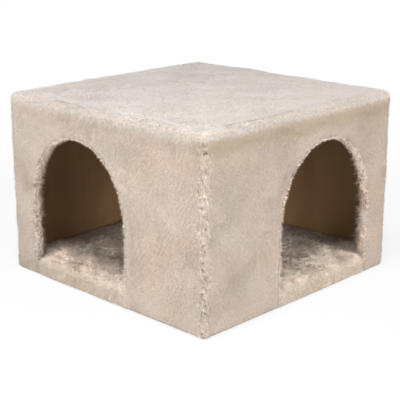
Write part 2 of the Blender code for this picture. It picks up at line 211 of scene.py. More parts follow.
class Tree:
    """A tree of nodes in the making."""

    def __init__(self, tree: bpy.types.NodeTree) -> None:
        """Wraps Blender's tree."""
        self.nodes, self.links = tree.nodes, tree.links

    def add(
        self,
        kind: str,
        settings: dict | None = None,
        sockets: dict | None = None,
        output: int | str = 0,
    ) -> Value:
        """Adds a node.

        Args:
            kind: Blender's name for the node's type.
            settings: Its settings, which are set first.
            sockets: The values or links of its sockets, by name or place.
            output: Which of its outputs to return.

        Returns:
            The chosen output.
        """
        node = self.nodes.new(kind)
        for name, value in (settings or {}).items():
            setattr(node, name, value)
        for key, value in (sockets or {}).items():
            self.plug(node.inputs[key], value)
        return Value(self, node.outputs[output])

    def plug(
        self, socket: bpy.types.NodeSocket, value: Value | float | Sequence[float]
    ) -> None:
        """Links a value to a socket, or sets the socket to it.

        Args:
            socket: The socket.
            value: What it takes. A colour may leave out its fourth number.
        """
        if isinstance(value, Value):
            self.links.new(value.socket, socket)
        elif isinstance(value, (int, float)):
            socket.default_value = value
        else:
            fits = len(socket.default_value)
            socket.default_value = (*value, 1.0)[:fits] if len(value) < fits else tuple(value)

    def own(self, node: str) -> Value:
        """The first output of a node that the tree started with."""
        return Value(self, self.nodes[node].outputs[0])

    def seen(self) -> Value:
        """Tells what the camera sees, also by way of gloss or glass, from the light on things.

        Returns:
            A mask that is 1 for what the camera sees.
        """
        camera, glossy, through = (
            self.add("ShaderNodeLightPath", output=f"Is {kind} Ray")
            for kind in ("Camera", "Glossy", "Transmission")
        )
        return camera | glossy | through


class Shader(Tree):
    """A material in the making."""

    def __init__(self, name: str, roughness: float, metallic: float = 0.0) -> None:
        """Starts a material.

        Args:
            name: The material's name.
            roughness: How rough it is all over.
            metallic: 1 for bare metal.
        """
        self.material = bpy.data.materials.new(name)
        self.material.use_nodes = True
        super().__init__(self.material.node_tree)
        self.set(Roughness=roughness, Metallic=metallic)

    def set(self, **values: Value | float | Sequence[float]) -> None:
        """Sets or links the surface's sockets. An underscore stands for a space in a name."""
        for name, value in values.items():
            self.plug(self.nodes["Principled BSDF"].inputs[name.replace("_", " ")], value)

    def spots(
        self, scale: Sequence[float] = (1.0, 1.0, 1.0), turn: Sequence[float] = (0.0, 0.0, 0.0)
    ) -> Value:
        """The piece's own coordinates, scaled and turned.

        Args:
            scale: How much each axis is multiplied.
            turn: The turn about each axis.

        Returns:
            The coordinates, as a vector.
        """
        own = self.add("ShaderNodeTexCoord", output="Object")
        sockets = {"Vector": own, "Scale": scale, "Rotation": turn}
        return self.add("ShaderNodeMapping", sockets=sockets)

    def along(self, angle: float, stretch: float) -> Value:
        """The piece's own coordinates, drawn out along a level direction.

        Args:
            angle: The direction, as a turn from +X.
            stretch: How many times longer a pattern gets along it.

        Returns:
            The coordinates, as a vector.
        """
        own = self.add("ShaderNodeTexCoord", output="Object")
        sockets = {"Vector": own, "Rotation": (0.0, 0.0, angle), "Scale": (stretch, 1.0, 1.0)}
        return self.add("ShaderNodeMapping", {"vector_type": "TEXTURE"}, sockets)

    def part(self, axis: str) -> Value:
        """One of the piece's own coordinates: X, Y or Z."""
        return self.add("ShaderNodeSeparateXYZ", sockets={0: self.spots()}, output=axis)

    def attribute(self, name: str) -> Value:
        """A number that the mesh carries at each of its points."""
        return self.add("ShaderNodeAttribute", {"attribute_name": name}, output="Fac")

    def noise(
        self, spots: Value, scale: float, detail: float = 2.0, roughness: float = 0.5
    ) -> Value:
        """A soft random number from 0 to 1, mostly near a half."""
        sockets = {"Vector": spots, "Scale": scale, "Detail": detail, "Roughness": roughness}
        return self.add("ShaderNodeTexNoise", {"noise_dimensions": "3D"}, sockets)

    def cells(self, size: float) -> Value:
        """How far a point lies from the middle of its cell, in a pattern of cells of a size."""
        sockets = {"Vector": self.spots(), "Scale": 1 / size}
        return self.add("ShaderNodeTexVoronoi", sockets=sockets)

    def between(self, value: Value, low: float, high: float) -> Value:
        """Stretches a number so that low becomes 0 and high becomes 1, and holds it there."""
        sockets = {"Value": value, "From Min": low, "From Max": high}
        return self.add("ShaderNodeMapRange", {"interpolation_type": "SMOOTHSTEP"}, sockets)

    def mix(self, factor: Value | float, first: Value | Colour, second: Value | Colour) -> Value:
        """Mixes two colours."""
        sockets = {"Factor": factor, 6: first, 7: second}
        return self.add("ShaderNodeMix", {"data_type": "RGBA"}, sockets, output=2)

    def tinted(self, colour: Value | Colour, brightness: Value | float) -> Value:
        """Multiplies a colour's brightness."""
        sockets = {"Color": colour, "Value": brightness}
        return self.add("ShaderNodeHueSaturation", sockets=sockets)

    def bump(self, height: Value, depth: float) -> None:
        """Raises the surface by a height from 0 to 1 times a depth."""
        sockets = {"Height": height, "Distance": depth, "Strength": 1.0}
        self.set(Normal=self.add("ShaderNodeBump", sockets=sockets))


@dataclass(frozen=True)
class PlushFinish:
    """Short beige plush with soft patches where the pile was brushed one way or another, and
    painted sheen where it looks up.
    """

    name: str = "plush_pile"
    pink: Colour = srgb(225, 204, 190)
    grey: Colour = srgb(220, 206, 194)
    yellow: Colour = srgb(218, 199, 175)
    pale: Colour = srgb(226, 214, 203)
    # Painted sheen: upper and upper_grey are the paler colours that pile looking up, and the top
    # of the sides, takes.
    upper: Colour = srgb(241, 234, 230)
    upper_grey: Colour = srgb(232, 225, 218)
    # Painted shade: the darker, yellower band under the top roll on the right side.
    painted_roll_shade: Colour = srgb(206, 187, 158)
    patch: float = 0.075
    stroke: float = 0.05
    brushed: float = radians(46)
    strand: float = 0.09
    sheen: float = 0.25
    # Where the painted shade under the top roll lies: its levels as it rises and falls, and where
    # it starts along X.
    groove: tuple[float, float, float, float] = (0.250, 0.270, 0.280, 0.290)
    groove_from: tuple[float, float] = (0.19, 0.21)

    def make(self) -> bpy.types.Material:
        """Makes the pile's material, coloured in soft patches and from strand to strand, with
        painted sheen and painted shade.

        Returns:
            The material.
        """
        shader = Shader(self.name, roughness=0.9)
        drawn_out = shader.spots((1.0, 1.0, 3.2), (0.0, 0.25, 0.35))
        patches = shader.noise(shader.spots(), 1 / self.patch, detail=1.5)
        strokes = shader.noise(drawn_out, 0.9 / self.patch, detail=2.5)
        faded = shader.noise(shader.spots(turn=(0.4, 0.0, 0.8)), 0.55 / self.patch, detail=1.0)
        colour = shader.mix(shader.between(patches, 0.38, 0.62), self.pink, self.grey)
        colour = shader.mix(shader.between(strokes, 0.52, 0.74) * 0.45, colour, self.yellow)
        colour = shader.mix(shader.between(faded, 0.5, 0.68) * 0.55, colour, self.pale)
        streaks = shader.along(self.brushed, 4.0)
        streaks = shader.noise(streaks, 1 / self.stroke, detail=2.5, roughness=0.45)
        # Painted sheen: the paler colours, which a strand takes by its share of the painted sheen.
        upper = shader.mix(shader.between(streaks, 0.36, 0.66), self.upper_grey, self.upper)
        colour = shader.mix(shader.attribute(PAINTED_SHEEN), colour, upper)
        # Painted shade in a band under the right side's top roll.
        level, right = shader.part("Z"), shader.part("X")
        above = 1.0 - shader.between(level, *self.groove[2:])
        band = shader.between(level, *self.groove[:2]) * above
        painted_roll_shade = band * shader.between(right, *self.groove_from) * 0.75
        colour = shader.mix(painted_roll_shade, colour, self.painted_roll_shade)
        tone = shader.attribute(STRAND_TONE) * self.strand + 1.0
        shader.set(Base_Color=shader.tinted(colour, tone))
        shader.set(Sheen_Weight=self.sheen, Sheen_Roughness=0.45, Sheen_Tint=(1.0, 0.96, 0.93))
        shader.set(Specular_IOR_Level=0.1)
        return shader.material


FLOOR_PLUSH = PlushFinish(
    name="floor_pile",
    pink=srgb(232, 212, 197),
    grey=srgb(226, 213, 198),
    yellow=srgb(223, 204, 180),
    pale=srgb(233, 220, 207),
)


@dataclass(frozen=True)
class BackingFinish:
    """The knitted backing that the pile stands on, seen between the strands and at cut edges."""

    name: str = "plush_backing"
    # The knit's loops and gaps, darker and greyer than the pile: partly their own colour, partly
    # painted shade where the pile parts.
    loop: Colour = srgb(208, 194, 180)
    gap: Colour = srgb(184, 168, 152)
    knit: float = 0.0012

    def make(self) -> bpy.types.Material:
        """Makes the material of the cloth under the pile, with rows of small knitted loops.

        Returns:
            The material.
        """
        shader = Shader(self.name, roughness=0.95)
        loops = shader.cells(self.knit)
        uneven = shader.noise(shader.spots(), 60.0)
        shader.set(Base_Color=shader.mix(shader.between(loops, 0.1, 0.7), self.loop, self.gap))
        shader.bump(uneven * 0.4 - loops * 0.6, 0.4 * MILLIMETRE)
        return shader.material


@dataclass(frozen=True)
class BoardFinish:
    """Smooth brown fibreboard, faintly streaked along its length."""

    name: str = "fibreboard"
    dark: Colour = srgb(115, 86, 58)
    light: Colour = srgb(142, 112, 75)
    fibre: float = 0.0009

    def make(self) -> bpy.types.Material:
        """Makes the board's material. Its pressed fibres show as flecks and faint streaks.

        Returns:
            The material.
        """
        shader = Shader(self.name, roughness=0.5)
        broad = shader.noise(shader.spots((1.0, 1.0, 0.3)), 14.0, detail=3.0)
        fine = shader.spots((1.0, 1.0, 0.06))
        streaks = shader.noise(fine, 170.0, detail=3.0, roughness=0.6)
        flecks = shader.noise(shader.spots((1.0, 1.0, 0.4)), 1 / self.fibre, detail=2.0)
        tone = shader.between(broad * 0.5 + streaks * 0.1 + flecks * 0.4, 0.32, 0.68)
        shader.set(Base_Color=shader.mix(tone, self.dark, self.light))
        shader.set(Roughness=flecks * 0.2 + 0.42, Specular_IOR_Level=0.35)
        shader.bump(flecks * 0.6 + streaks * 0.4, 0.12 * MILLIMETRE)
        return shader.material


@dataclass(frozen=True)
class FoamFinish:
    """Pale upholstery foam with open cells."""

    name: str = "foam"
    wall: Colour = srgb(233, 222, 190)
    cell: Colour = srgb(203, 187, 146)
    size: float = 0.0011

    def make(self) -> bpy.types.Material:
        """Makes the foam's material, pitted with cells.

        Returns:
            The material.
        """
        shader = Shader(self.name, roughness=0.95)
        cells = shader.cells(self.size)
        shader.set(Base_Color=shader.mix(shader.between(cells, 0.15, 0.6), self.cell, self.wall))
        shader.bump(cells, 0.5 * MILLIMETRE)
        return shader.material


@dataclass(frozen=True)
class SteelFinish:
    """Galvanised wire steel, dulled in patches."""

    name: str = "galvanised_steel"
    bright: Colour = srgb(196, 198, 200)
    dull: Colour = srgb(150, 152, 152)

    def make(self) -> bpy.types.Material:
        """Makes the metal of the nails and staples.

        Returns:
            The material.
        """
        shader = Shader(self.name, roughness=0.35, metallic=1.0)
        spangle = shader.noise(shader.spots(), 900.0, detail=3.0)
        scratches = shader.noise(shader.spots((1.0, 1.0, 0.1)), 3000.0, detail=2.0)
        tone = shader.between(spangle, 0.35, 0.65)
        shader.set(Base_Color=shader.mix(tone, self.dull, self.bright))
        shader.set(Roughness=spangle * 0.25 + 0.22)
        shader.bump(scratches, 0.03 * MILLIMETRE)
        return shader.material


class Drift:
    """A smooth random field: sine waves in random directions. It mostly stays within 2 of 0."""

    def __init__(self, seed: int, wave: float, count: int = 14) -> None:
        """Draws the waves.

        Args:
            seed: The seed of the draw.
            wave: The waves' mean length.
            count: How many waves there are.
        """
        rng = np.random.default_rng(seed)
        ways = rng.normal(size=(count, 3))
        ways /= np.linalg.norm(ways, axis=1, keepdims=True)
        self.ways = ways * (2 * pi / (wave * rng.uniform(0.6, 1.5, (count, 1))))
        self.phases = rng.uniform(0.0, 2 * pi, count)

    def __call__(self, spots: np.ndarray) -> np.ndarray:
        """Reads the field at each spot."""
        waves = np.sin(spots @ self.ways.T + self.phases)
        return waves.sum(axis=1) * (2 / len(self.phases)) ** 0.5


def unit(vectors: np.ndarray) -> np.ndarray:
    """Brings each vector to length 1."""
    return vectors / np.maximum(np.linalg.norm(vectors, axis=-1, keepdims=True), 1e-12)


def step(value: np.ndarray, low: float, high: float) -> np.ndarray:
    """Rises softly from 0 at low to 1 at high."""
    share = np.clip((value - low) / (high - low), 0.0, 1.0)
    return share * share * (3 - 2 * share)


def hump(value: np.ndarray, centre: float, width: float) -> np.ndarray:
    """Is 1 at the centre and falls off on both sides over a width."""
    return np.exp(-(((value - centre) / width) ** 2))


def nowhere(spots: np.ndarray, *_: np.ndarray) -> np.ndarray:
    """Is 0 at each spot."""
    return np.zeros(len(spots))


def everywhere(spots: np.ndarray) -> np.ndarray:
    """Is 1 at each spot."""
    return np.ones(len(spots))


def farther(spots: np.ndarray) -> np.ndarray:
    """How far each spot lies from the upright axis, along X or Y, whichever is more."""
    return np.abs(spots[:, :2]).max(axis=1)


def nearer(spots: np.ndarray) -> np.ndarray:
    """How far each spot lies from the upright axis, along X or Y, whichever is less."""
    return np.abs(spots[:, :2]).min(axis=1)


def outwards(spots: np.ndarray, normals: np.ndarray) -> np.ndarray:
    """The level way from the upright axis to each spot, in which a turned-under edge lies."""
    return spots * LEVEL


def quarter(steps: int, first: int = 0) -> list[float]:
    """The angles of a quarter turn in equal steps, from the given step on."""
    return [pi / 2 * number / steps for number in range(first, steps + 1)]


def places(shape: bmesh.types.BMesh) -> np.ndarray:
    """The places of a shape's vertices, one a row."""
    return np.array([v.co for v in shape.verts])


def highest(edge: bmesh.types.BMEdge) -> float:
    """The level of an edge's higher end."""
    return max(v.co.z for v in edge.verts)


def ease(shape: bmesh.types.BMesh) -> None:
    """Merges a shape's doubled vertices and turns its faces outwards."""
    bmesh.ops.remove_doubles(shape, verts=shape.verts, dist=CLOSE)
    bmesh.ops.recalc_face_normals(shape, faces=shape.faces)


def turn_over(shape: bmesh.types.BMesh) -> None:
    """Turns each face of a shape to look the other way."""
    bmesh.ops.reverse_faces(shape, faces=shape.faces)
    shape.normal_update()


def round_edges(
    shape: bmesh.types.BMesh, edges: Sequence[bmesh.types.BMEdge], radius: float, steps: int
) -> None:
    """Rounds the given edges of a shape.

    Args:
        shape: The shape.
        edges: The edges.
        radius: The radius that they get.
        steps: How many flat steps make the round.
    """
    bmesh.ops.bevel(
        shape,
        geom=list(edges),
        offset=radius,
        segments=steps,
        profile=0.5,
        affect="EDGES",
        material=-1,
        clamp_overlap=True,
    )


def slice_up(shape: bmesh.types.BMesh, axis: int, cuts: Sequence[float]) -> None:
    """Cuts a shape's faces along planes square to an axis, so that they can bend there.

    Args:
        shape: The shape.
        axis: 0, 1 or 2 for X, Y or Z.
        cuts: Where along the axis each plane stands.
    """
    way = Vector((float(axis == 0), float(axis == 1), float(axis == 2)))
    for cut in cuts:
        faces = list(shape.faces)
        edges = dict.fromkeys(e for f in faces for e in f.edges)
        verts = dict.fromkeys(v for f in faces for v in f.verts)
        geom = [*verts, *edges, *faces]
        bmesh.ops.bisect_plane(shape, geom=geom, dist=CLOSE, plane_co=way * cut, plane_no=way)


def draw_out(
    shape: bmesh.types.BMesh, edges: Sequence[bmesh.types.BMEdge]
) -> tuple[set[bmesh.types.BMVert], list[bmesh.types.BMEdge]]:
    """Extrudes a row of edges, so that the new row can be moved on.

    Args:
        shape: The shape.
        edges: The row of edges at its end.

    Returns:
        The vertices and the edges of the new row.
    """
    made = bmesh.ops.extrude_edge_only(shape, edges=edges)["geom"]
    verts = {v for v in made if isinstance(v, bmesh.types.BMVert)}
    row = [e for e in made if isinstance(e, bmesh.types.BMEdge) and set(e.verts) <= verts]
    return verts, row


def settle(shape: bmesh.types.BMesh) -> None:
    """Numbers a shape's vertices and faces by their places.

    Blender's cuts number them differently in each run, and the strands' draws follow the numbers.

    Args:
        shape: The shape.
    """
    shape.verts.index_update()
    spots = [tuple(round(part, 6) for part in vert.co) for vert in shape.verts]
    order = sorted(range(len(spots)), key=spots.__getitem__)
    rank = {old: new for new, old in enumerate(order)}
    rings = []
    for face in shape.faces:
        ring = [rank[vert.index] for vert in face.verts]
        first = ring.index(min(ring))
        rings.append(ring[first:] + ring[:first])
    shape.clear()
    verts = [shape.verts.new(spots[number]) for number in order]
    for ring in sorted(rings):
        shape.faces.new([verts[number] for number in ring])
    shape.normal_update()


def to_object(
    name: str, shape: bmesh.types.BMesh, material: bpy.types.Material | None = None
) -> bpy.types.Object:
    """Turns a shape into an object at the origin.

    Args:
        name: The object's name.
        shape: The shape, which is freed.
        material: Its material, or None for a cutter.

    Returns:
        The object, smooth where it has a material.
    """
    mesh = bpy.data.meshes.new(name)
    if material is not None:
        settle(shape)
    shape.to_mesh(mesh)
    shape.free()
    if material is not None:
        mesh.materials.append(material)
        mesh.shade_smooth()
    return to_scene(name, mesh)


def to_scene(name: str, data: bpy.types.ID) -> bpy.types.Object:
    """Puts a mesh, a lamp or a camera into the scene.

    Args:
        name: The object's name.
        data: What it holds.

    Returns:
        The object.
    """
    made = bpy.data.objects.new(name, data)
    bpy.context.scene.collection.objects.link(made)
    return made


def box(low: Sequence[float], high: Sequence[float]) -> bmesh.types.BMesh:
    """Makes a box.

    Args:
        low: Its lowest corner.
        high: Its highest corner.

    Returns:
        The shape.
    """
    shape = bmesh.new()
    middle = (Vector(low) + Vector(high)) / 2
    size = Vector(high) - Vector(low)
    place = Matrix.Translation(middle) @ Matrix.Diagonal((*size, 1.0))
    bmesh.ops.create_cube(shape, size=1.0, matrix=place)
    return shape


def cut_away(target: bpy.types.Object, cutters: Sequence[bmesh.types.BMesh]) -> None:
    """Cuts shapes out of an object, and applies the cuts.

    Args:
        target: The object.
        cutters: The shapes, which are used up.
    """
    helpers = []
    for number, cutter in enumerate(cutters):
        ease(cutter)
        helper = to_object(f"cutter_{number}", cutter)
        helpers.append(helper)
        modifier = target.modifiers.new(helper.name, "BOOLEAN")
        modifier.operation = "DIFFERENCE"
        modifier.solver = "EXACT"
        modifier.object = helper
    graph = bpy.context.evaluated_depsgraph_get()
    made = bpy.data.meshes.new_from_object(target.evaluated_get(graph))
    target.modifiers.clear()
    target.data = made
    for helper in helpers:
        bpy.data.objects.remove(helper)


def open_mesh(target: bpy.types.Object) -> bmesh.types.BMesh:
    """Reads an object's mesh, and makes each of its flat stretches one face.

    Args:
        target: The object.

    Returns:
        The shape.
    """
    shape = bmesh.new()
    shape.from_mesh(target.data)
    ease(shape)
    flat = radians(0.5)
    bmesh.ops.dissolve_limit(shape, angle_limit=flat, verts=shape.verts, edges=shape.edges)
    return shape


def seat(piece: bpy.types.Object, slot: Slot, *nodes: str) -> None:
    """Fastens a piece to the body.

    Args:
        piece: The piece.
        slot: The slot of its finish. It is not used.
        *nodes: The nodes that it stands for.
    """
    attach(piece, "root")
    if nodes:
        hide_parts(*nodes)


@dataclass(frozen=True)
class Box:
    """The cave's main sizes, as the model has them."""

    half: float = float(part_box("plush_cover")[1][0])
    top: float = float(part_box("plush_cover")[1][2])
    board: float = float(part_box("base_board")[1][0])
    room_half: float = float(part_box("back_wall")[0][1])
    wall_foot: float = float(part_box("back_wall")[0][2])
    floor: float = float(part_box("floor_pad")[1][2])
    edge: float = 0.011
    hem: float = 0.030

    def inset(self, spots: np.ndarray) -> np.ndarray:
        """How far each spot lies inside the nearest side's outer face."""
        return self.half - farther(spots)

    def below(self, spots: np.ndarray) -> np.ndarray:
        """How far each spot lies below the top."""
        return self.top - spots[:, 2]


BOX = Box()


@dataclass(frozen=True)
class Doorway:
    """An arched doorway between its plush edges: upright jambs with half an ellipse over them."""

    side: Side
    centre: float
    half: float = 0.105
    rise: float = 0.120
    spring: float = 0.123
    steps: int = 48
    jamb_steps: int = 16
    cut_from: float = -0.01
    cut_depth: float = 0.05

    def arch(self, grow: float, depth: float, foot: float) -> list[Vector]:
        """The doorway's outline, from the foot of one jamb over the arch to the other foot.

        Args:
            grow: How far outside the plush edge the outline runs.
            depth: How far behind the side's outer face it lies.
            foot: The level of the feet.

        Returns:
            The points, in the box's frame.
        """
        half, rise = self.half + grow, self.rise + grow
        angles = [pi * number / self.steps for number in range(self.steps + 1)]
        shares = [number / self.jamb_steps for number in range(self.jamb_steps)]
        jamb = [foot + (self.spring - foot) * share for share in shares]
        flat = [(half, level) for level in jamb]
        flat += [(half * cos(a), self.spring + rise * sin(a)) for a in angles]
        flat += [(-half, level) for level in reversed(jamb)]
        return [self.spot(x, depth, z) for x, z in flat]

    def spot(self, across: float, depth: float, level: float) -> Vector:
        """A point beside the doorway's middle, behind the side's outer face, at a level."""
        return self.side.place @ Vector((across + self.centre, depth - BOX.half, level))

    def cutter(self, grow: float) -> bmesh.types.BMesh:
        """Makes a shape that cuts the doorway out of a side.

        Args:
            grow: How far outside the plush edge it cuts.

        Returns:
            The shape.
        """
        shape = bmesh.new()
        outline = self.arch(grow, self.cut_from, self.cut_from)
        face = shape.faces.new([shape.verts.new(point) for point in outline])
        made = bmesh.ops.extrude_face_region(shape, geom=[face])["geom"]
        moved = [v for v in made if isinstance(v, bmesh.types.BMVert)]
        bmesh.ops.translate(shape, verts=moved, vec=Vector(self.side.out) * -self.cut_depth)
        return shape

    def depth(self, spots: np.ndarray) -> np.ndarray:
        """How far behind the side's outer face each spot lies."""
        return BOX.half - spots @ self.side.out

    def across(self, spots: np.ndarray) -> np.ndarray:
        """How far along the side each spot lies from the doorway's middle."""
        return spots @ self.side.along - self.centre

    def beside(self, spots: np.ndarray) -> np.ndarray:
        """How far along the side each spot lies from the doorway's middle, either way."""
        return np.abs(self.across(spots))

    def outside(self, spots: np.ndarray) -> np.ndarray:
        """How far outside the plush edge each spot lies, roughly.

        Args:
            spots: The spots.

        Returns:
            The distances, which are less than 0 inside the doorway.
        """
        beside, up = self.beside(spots), spots[:, 2] - self.spring
        arched = np.hypot(beside / self.half, np.maximum(up, 0.0) / self.rise)
        return np.where(up > 0, (arched - 1.0) * self.half, beside - self.half)


FRONT_DOOR = Doorway(Side.FRONT, centre=-0.053)
RIGHT_DOOR = Doorway(Side.RIGHT, centre=0.053)
DOORWAYS = (FRONT_DOOR, RIGHT_DOOR)


@dataclass(frozen=True)
class Strands:
    """Some strands: their roots, the cloth's normals there, and the ways that they point."""

    roots: np.ndarray
    normals: np.ndarray
    ways: np.ndarray

    def pick(self, chosen: np.ndarray) -> "Strands":
        """The strands of the given numbers."""
        return Strands(self.roots[chosen], self.normals[chosen], self.ways[chosen])


@dataclass
class Pile:
    """Strands of plush, planted on a cloth's outer face.

    Each strand is a slim closed spike. It leans the way that the pile was brushed, and its
    neighbours lean with it. Where the pile is rough, the strands stand up and gather, and they are
    painted paler, as painted highlight, and darker at their roots, as painted shade.

    Attributes:
        wanted: Whether a face of the cloth carries strands, by its middle and its normal.
        nap: The way that the pile was brushed.
        flat: The place on the piece's flat map.
        density: How many strands stand on a square metre.
        lean: How far a strand leans out of the cloth's normal.
        sway: How much the lean changes from one area to the next, as a share.
        swirl: How far the nap turns from one area to the next.
        clump: How much the strands of a tuft gather.
        tuft: How wide the tufts are.
        wild: How much each strand strays from its neighbours.
        neater: How much less the strands that look up stray and gather.
        paleness: How much of the painted sheen, a paler colour, the strands that look up or lie
            near the top take.
        root_shade: How much darker a strand is at its root.
        painted_slant_shade: How much painted shade brings the tone of slanting cloth, which
            catches more light, down to that of level cloth.
        rounded: How round a strand is shaded.
        laid: The least lean.
        trim: The factor on the strands' length.
        rough: How rough the pile is, from less than 0 where it is smooth to 1.
        darker: How much darker the strands are, as a share of a strand's own tone.
        facing: How much a strand is shaded as if it were a face square to its own way.
        kept: The share of the strands that stand, or None for all of them.
    """

    name: str
    cloth: bpy.types.Object
    wanted: FacedField
    nap: FacedField
    flat: Field
    seed: int
    density: float = 500000.0
    length: float = 0.0046
    width: float = 0.00046
    lean: float = radians(58)
    sway: float = 0.10
    swirl: float = 0.35
    clump: float = 0.12
    tuft: float = 0.0045
    wild: float = 0.16
    neater: float = 0.45
    paleness: float = 0.7
    root_shade: float = 1.2
    painted_slant_shade: float = 0.36
    rounded: float = 0.35
    laid: FacedField = nowhere
    trim: Field = everywhere
    rough: Field = nowhere
    darker: Field = nowhere
    facing: Field = nowhere
    kept: Field | None = None

    def _corners(self) -> tuple[np.ndarray, np.ndarray, np.ndarray]:
        """Reads the cloth's mesh.

        Returns:
            Its vertices, their normals, and its triangles, as numbers of vertices.
        """
        mesh = self.cloth.data
        mesh.calc_loop_triangles()
        triangles = np.empty(len(mesh.loop_triangles) * 3, np.int32)
        mesh.loop_triangles.foreach_get("vertices", triangles)
        spots = np.empty(len(mesh.vertices) * 3, np.float32)
        mesh.vertices.foreach_get("co", spots)
        normals = np.empty(len(mesh.vertices) * 3, np.float32)
        mesh.vertex_normals.foreach_get("vector", normals)
        spots, normals = (part.reshape(-1, 3).astype(float) for part in (spots, normals))
        return spots, normals, triangles.reshape(-1, 3)

    def _roots(self, rng: np.random.Generator) -> tuple[np.ndarray, np.ndarray]:
        """Picks the strands' roots.

        Args:
            rng: The source of random numbers.

        Returns:
            The roots, and the cloth's normal at each.
        """
        spots, normals, triangles = self._corners()
        a, b, c = (spots[triangles[:, k]] for k in range(3))
        crossed = np.cross(b - a, c - a)
        wanted = self.wanted((a + b + c) / 3, unit(crossed))
        areas = np.where(wanted, np.linalg.norm(crossed, axis=1) / 2, 0.0)
        counts = np.floor(areas * self.density + rng.random(len(areas))).astype(int)
        picked = np.repeat(np.arange(len(areas)), counts)
        u, v = rng.random(len(picked)), rng.random(len(picked))
        folded = u + v > 1
        u, v = (np.where(folded, 1 - share, share)[:, None] for share in (u, v))
        roots = a[picked] * (1 - u - v) + b[picked] * u + c[picked] * v
        na, nb, nc = (normals[triangles[picked, k]] for k in range(3))
        normals = unit(na * (1 - u - v) + nb * u + nc * v)
        if self.kept is not None:
            kept = rng.random(len(roots)) < self.kept(roots)
            roots, normals = roots[kept], normals[kept]
        return roots, normals

    def _ways(
        self, roots: np.ndarray, normals: np.ndarray, rng: np.random.Generator
    ) -> np.ndarray:
        """Leans the strands.

        Args:
            roots: The strands' roots.
            normals: The cloth's normals there.
            rng: The source of random numbers.

        Returns:
            The way that each strand points.
        """
        rough = self.rough(roots)
        nap = self.nap(roots, normals)
        nap = unit(nap - (nap * normals).sum(axis=1, keepdims=True) * normals)
        side = np.cross(normals, nap)
        neat = 1 - self.neater * step(normals[:, 2], -0.1, 0.5)
        wild = self.wild * neat + 0.12 * rough
        broad, small = Drift(self.seed + 1, 0.11)(roots), Drift(self.seed + 2, 0.028)(roots)
        turn = self.swirl * broad + 0.45 * self.swirl * small
        turn += wild * 1.6 * rng.normal(size=len(roots))
        turn = turn[:, None]
        lean = np.maximum(self.lean * (1 - 0.3 * rough), self.laid(roots, normals))
        sway = self.sway * Drift(self.seed + 3, 0.05)(roots)
        lean = lean * (1 + sway + wild * rng.normal(size=len(roots)))
        lean = np.clip(lean, 0.0, MOST_LEAN)[:, None]
        ways = normals * np.cos(lean) + (nap * np.cos(turn) + side * np.sin(turn)) * np.sin(lean)
        gather = [Drift(self.seed + 10 + axis, self.tuft)(roots) for axis in range(3)]
        clump = self.clump * neat + 0.5 * rough
        return unit(ways + clump[:, None] * np.stack(gather, axis=1))

    @staticmethod
    def _spike() -> tuple[np.ndarray, np.ndarray]:
        """Makes the shape of every strand: a slim spike, 1 high and 1 in radius.

        Returns:
            Its points, and its faces as numbers of points.
        """
        spike = bmesh.new()
        sizes = {"radius1": 1.0, "radius2": 0.0, "depth": 1.0}
        place = Matrix.Translation((0, 0, 0.5))
        bmesh.ops.create_cone(spike, cap_ends=True, segments=3, matrix=place, **sizes)
        ease(spike)
        points = places(spike)
        faces = np.array([[v.index for v in f.verts] for f in spike.faces])
        spike.free()
        return points, faces

    def _mesh(self, name: str, strands: Strands, rng: np.random.Generator) -> bpy.types.Mesh:
        """Builds the strands of one piece.

        Args:
            name: The mesh's name.
            strands: The strands.
            rng: The source of random numbers.

        Returns:
            The mesh.
        """
        count, ways = len(strands.roots), strands.ways
        length = self.length * rng.uniform(0.75, 1.1, count) * self.trim(strands.roots)
        radius = self.width * rng.uniform(0.75, 1.15, count)
        points, faces = self._spike()
        across = unit(np.cross(ways, rng.normal(size=(count, 3))))
        over = np.cross(ways, across)
        spots = (strands.roots - strands.normals * ROOT_DEPTH)[:, None, :]
        for axis, (way, size) in enumerate(((across, radius), (over, radius), (ways, length))):
            spots = spots + way[:, None, :] * (points[:, axis, None] * size[:, None, None])
        spots[:, :, 2] = np.maximum(spots[:, :, 2], GROUND)
        loops = (faces[None] + (np.arange(count) * len(points))[:, None, None]).reshape(-1)
        mesh = bpy.data.meshes.new(name)
        mesh.vertices.add(count * len(points))
        mesh.vertices.foreach_set("co", spots.astype(np.float32).ravel())
        mesh.loops.add(len(loops))
        mesh.loops.foreach_set("vertex_index", loops.astype(np.int32))
        mesh.polygons.add(len(loops) // 3)
        starts = np.arange(0, len(loops), 3, dtype=np.int32)
        mesh.polygons.foreach_set("loop_start", starts)
        mesh.update(calc_edges=True)
        self._paint(mesh, strands, points, loops, rng)
        mesh.shade_smooth()
        facing = self.facing(strands.roots)[:, None]
        leaning = strands.normals * (1 - facing) + ways * facing
        away = points[:, 0, None] * across[:, None, :] + points[:, 1, None] * over[:, None, :]
        shading = unit(leaning[:, None, :] + away * self.rounded).reshape(-1, 3)
        mesh.normals_split_custom_set_from_vertices(shading.astype(np.float32))
        return mesh

    def _paint(
        self,
        mesh: bpy.types.Mesh,
        strands: Strands,
        points: np.ndarray,
        loops: np.ndarray,
        rng: np.random.Generator,
    ) -> None:
        """Gives each strand its own tone, with painted shade and painted sheen, and a small patch
        of its own on the piece's map.

        Args:
            mesh: The mesh of the strands.
            strands: The strands.
            points: The points of one spike.
            loops: The vertex of each corner of the mesh's faces.
            rng: The source of random numbers.
        """
        roots, upward = strands.roots, strands.normals[:, 2]
        own = rng.random(len(roots)) - 0.5 - self.darker(roots)
        # Painted shade on slanting cloth, so that a rounded edge shows no brighter than the faces
        # beside it.
        own -= self.painted_slant_shade * (1 - np.hypot(upward**2, 1 - upward**2)) / PlushFinish.strand
        rough = self.rough(roots)
        # Painted sheen: strands that look up, and those near the top, take the paler colour.
        upper = np.maximum(step(upward, -0.1, 0.9), step(BOX.below(roots), 0.026, 0.010))
        upper *= self.paleness
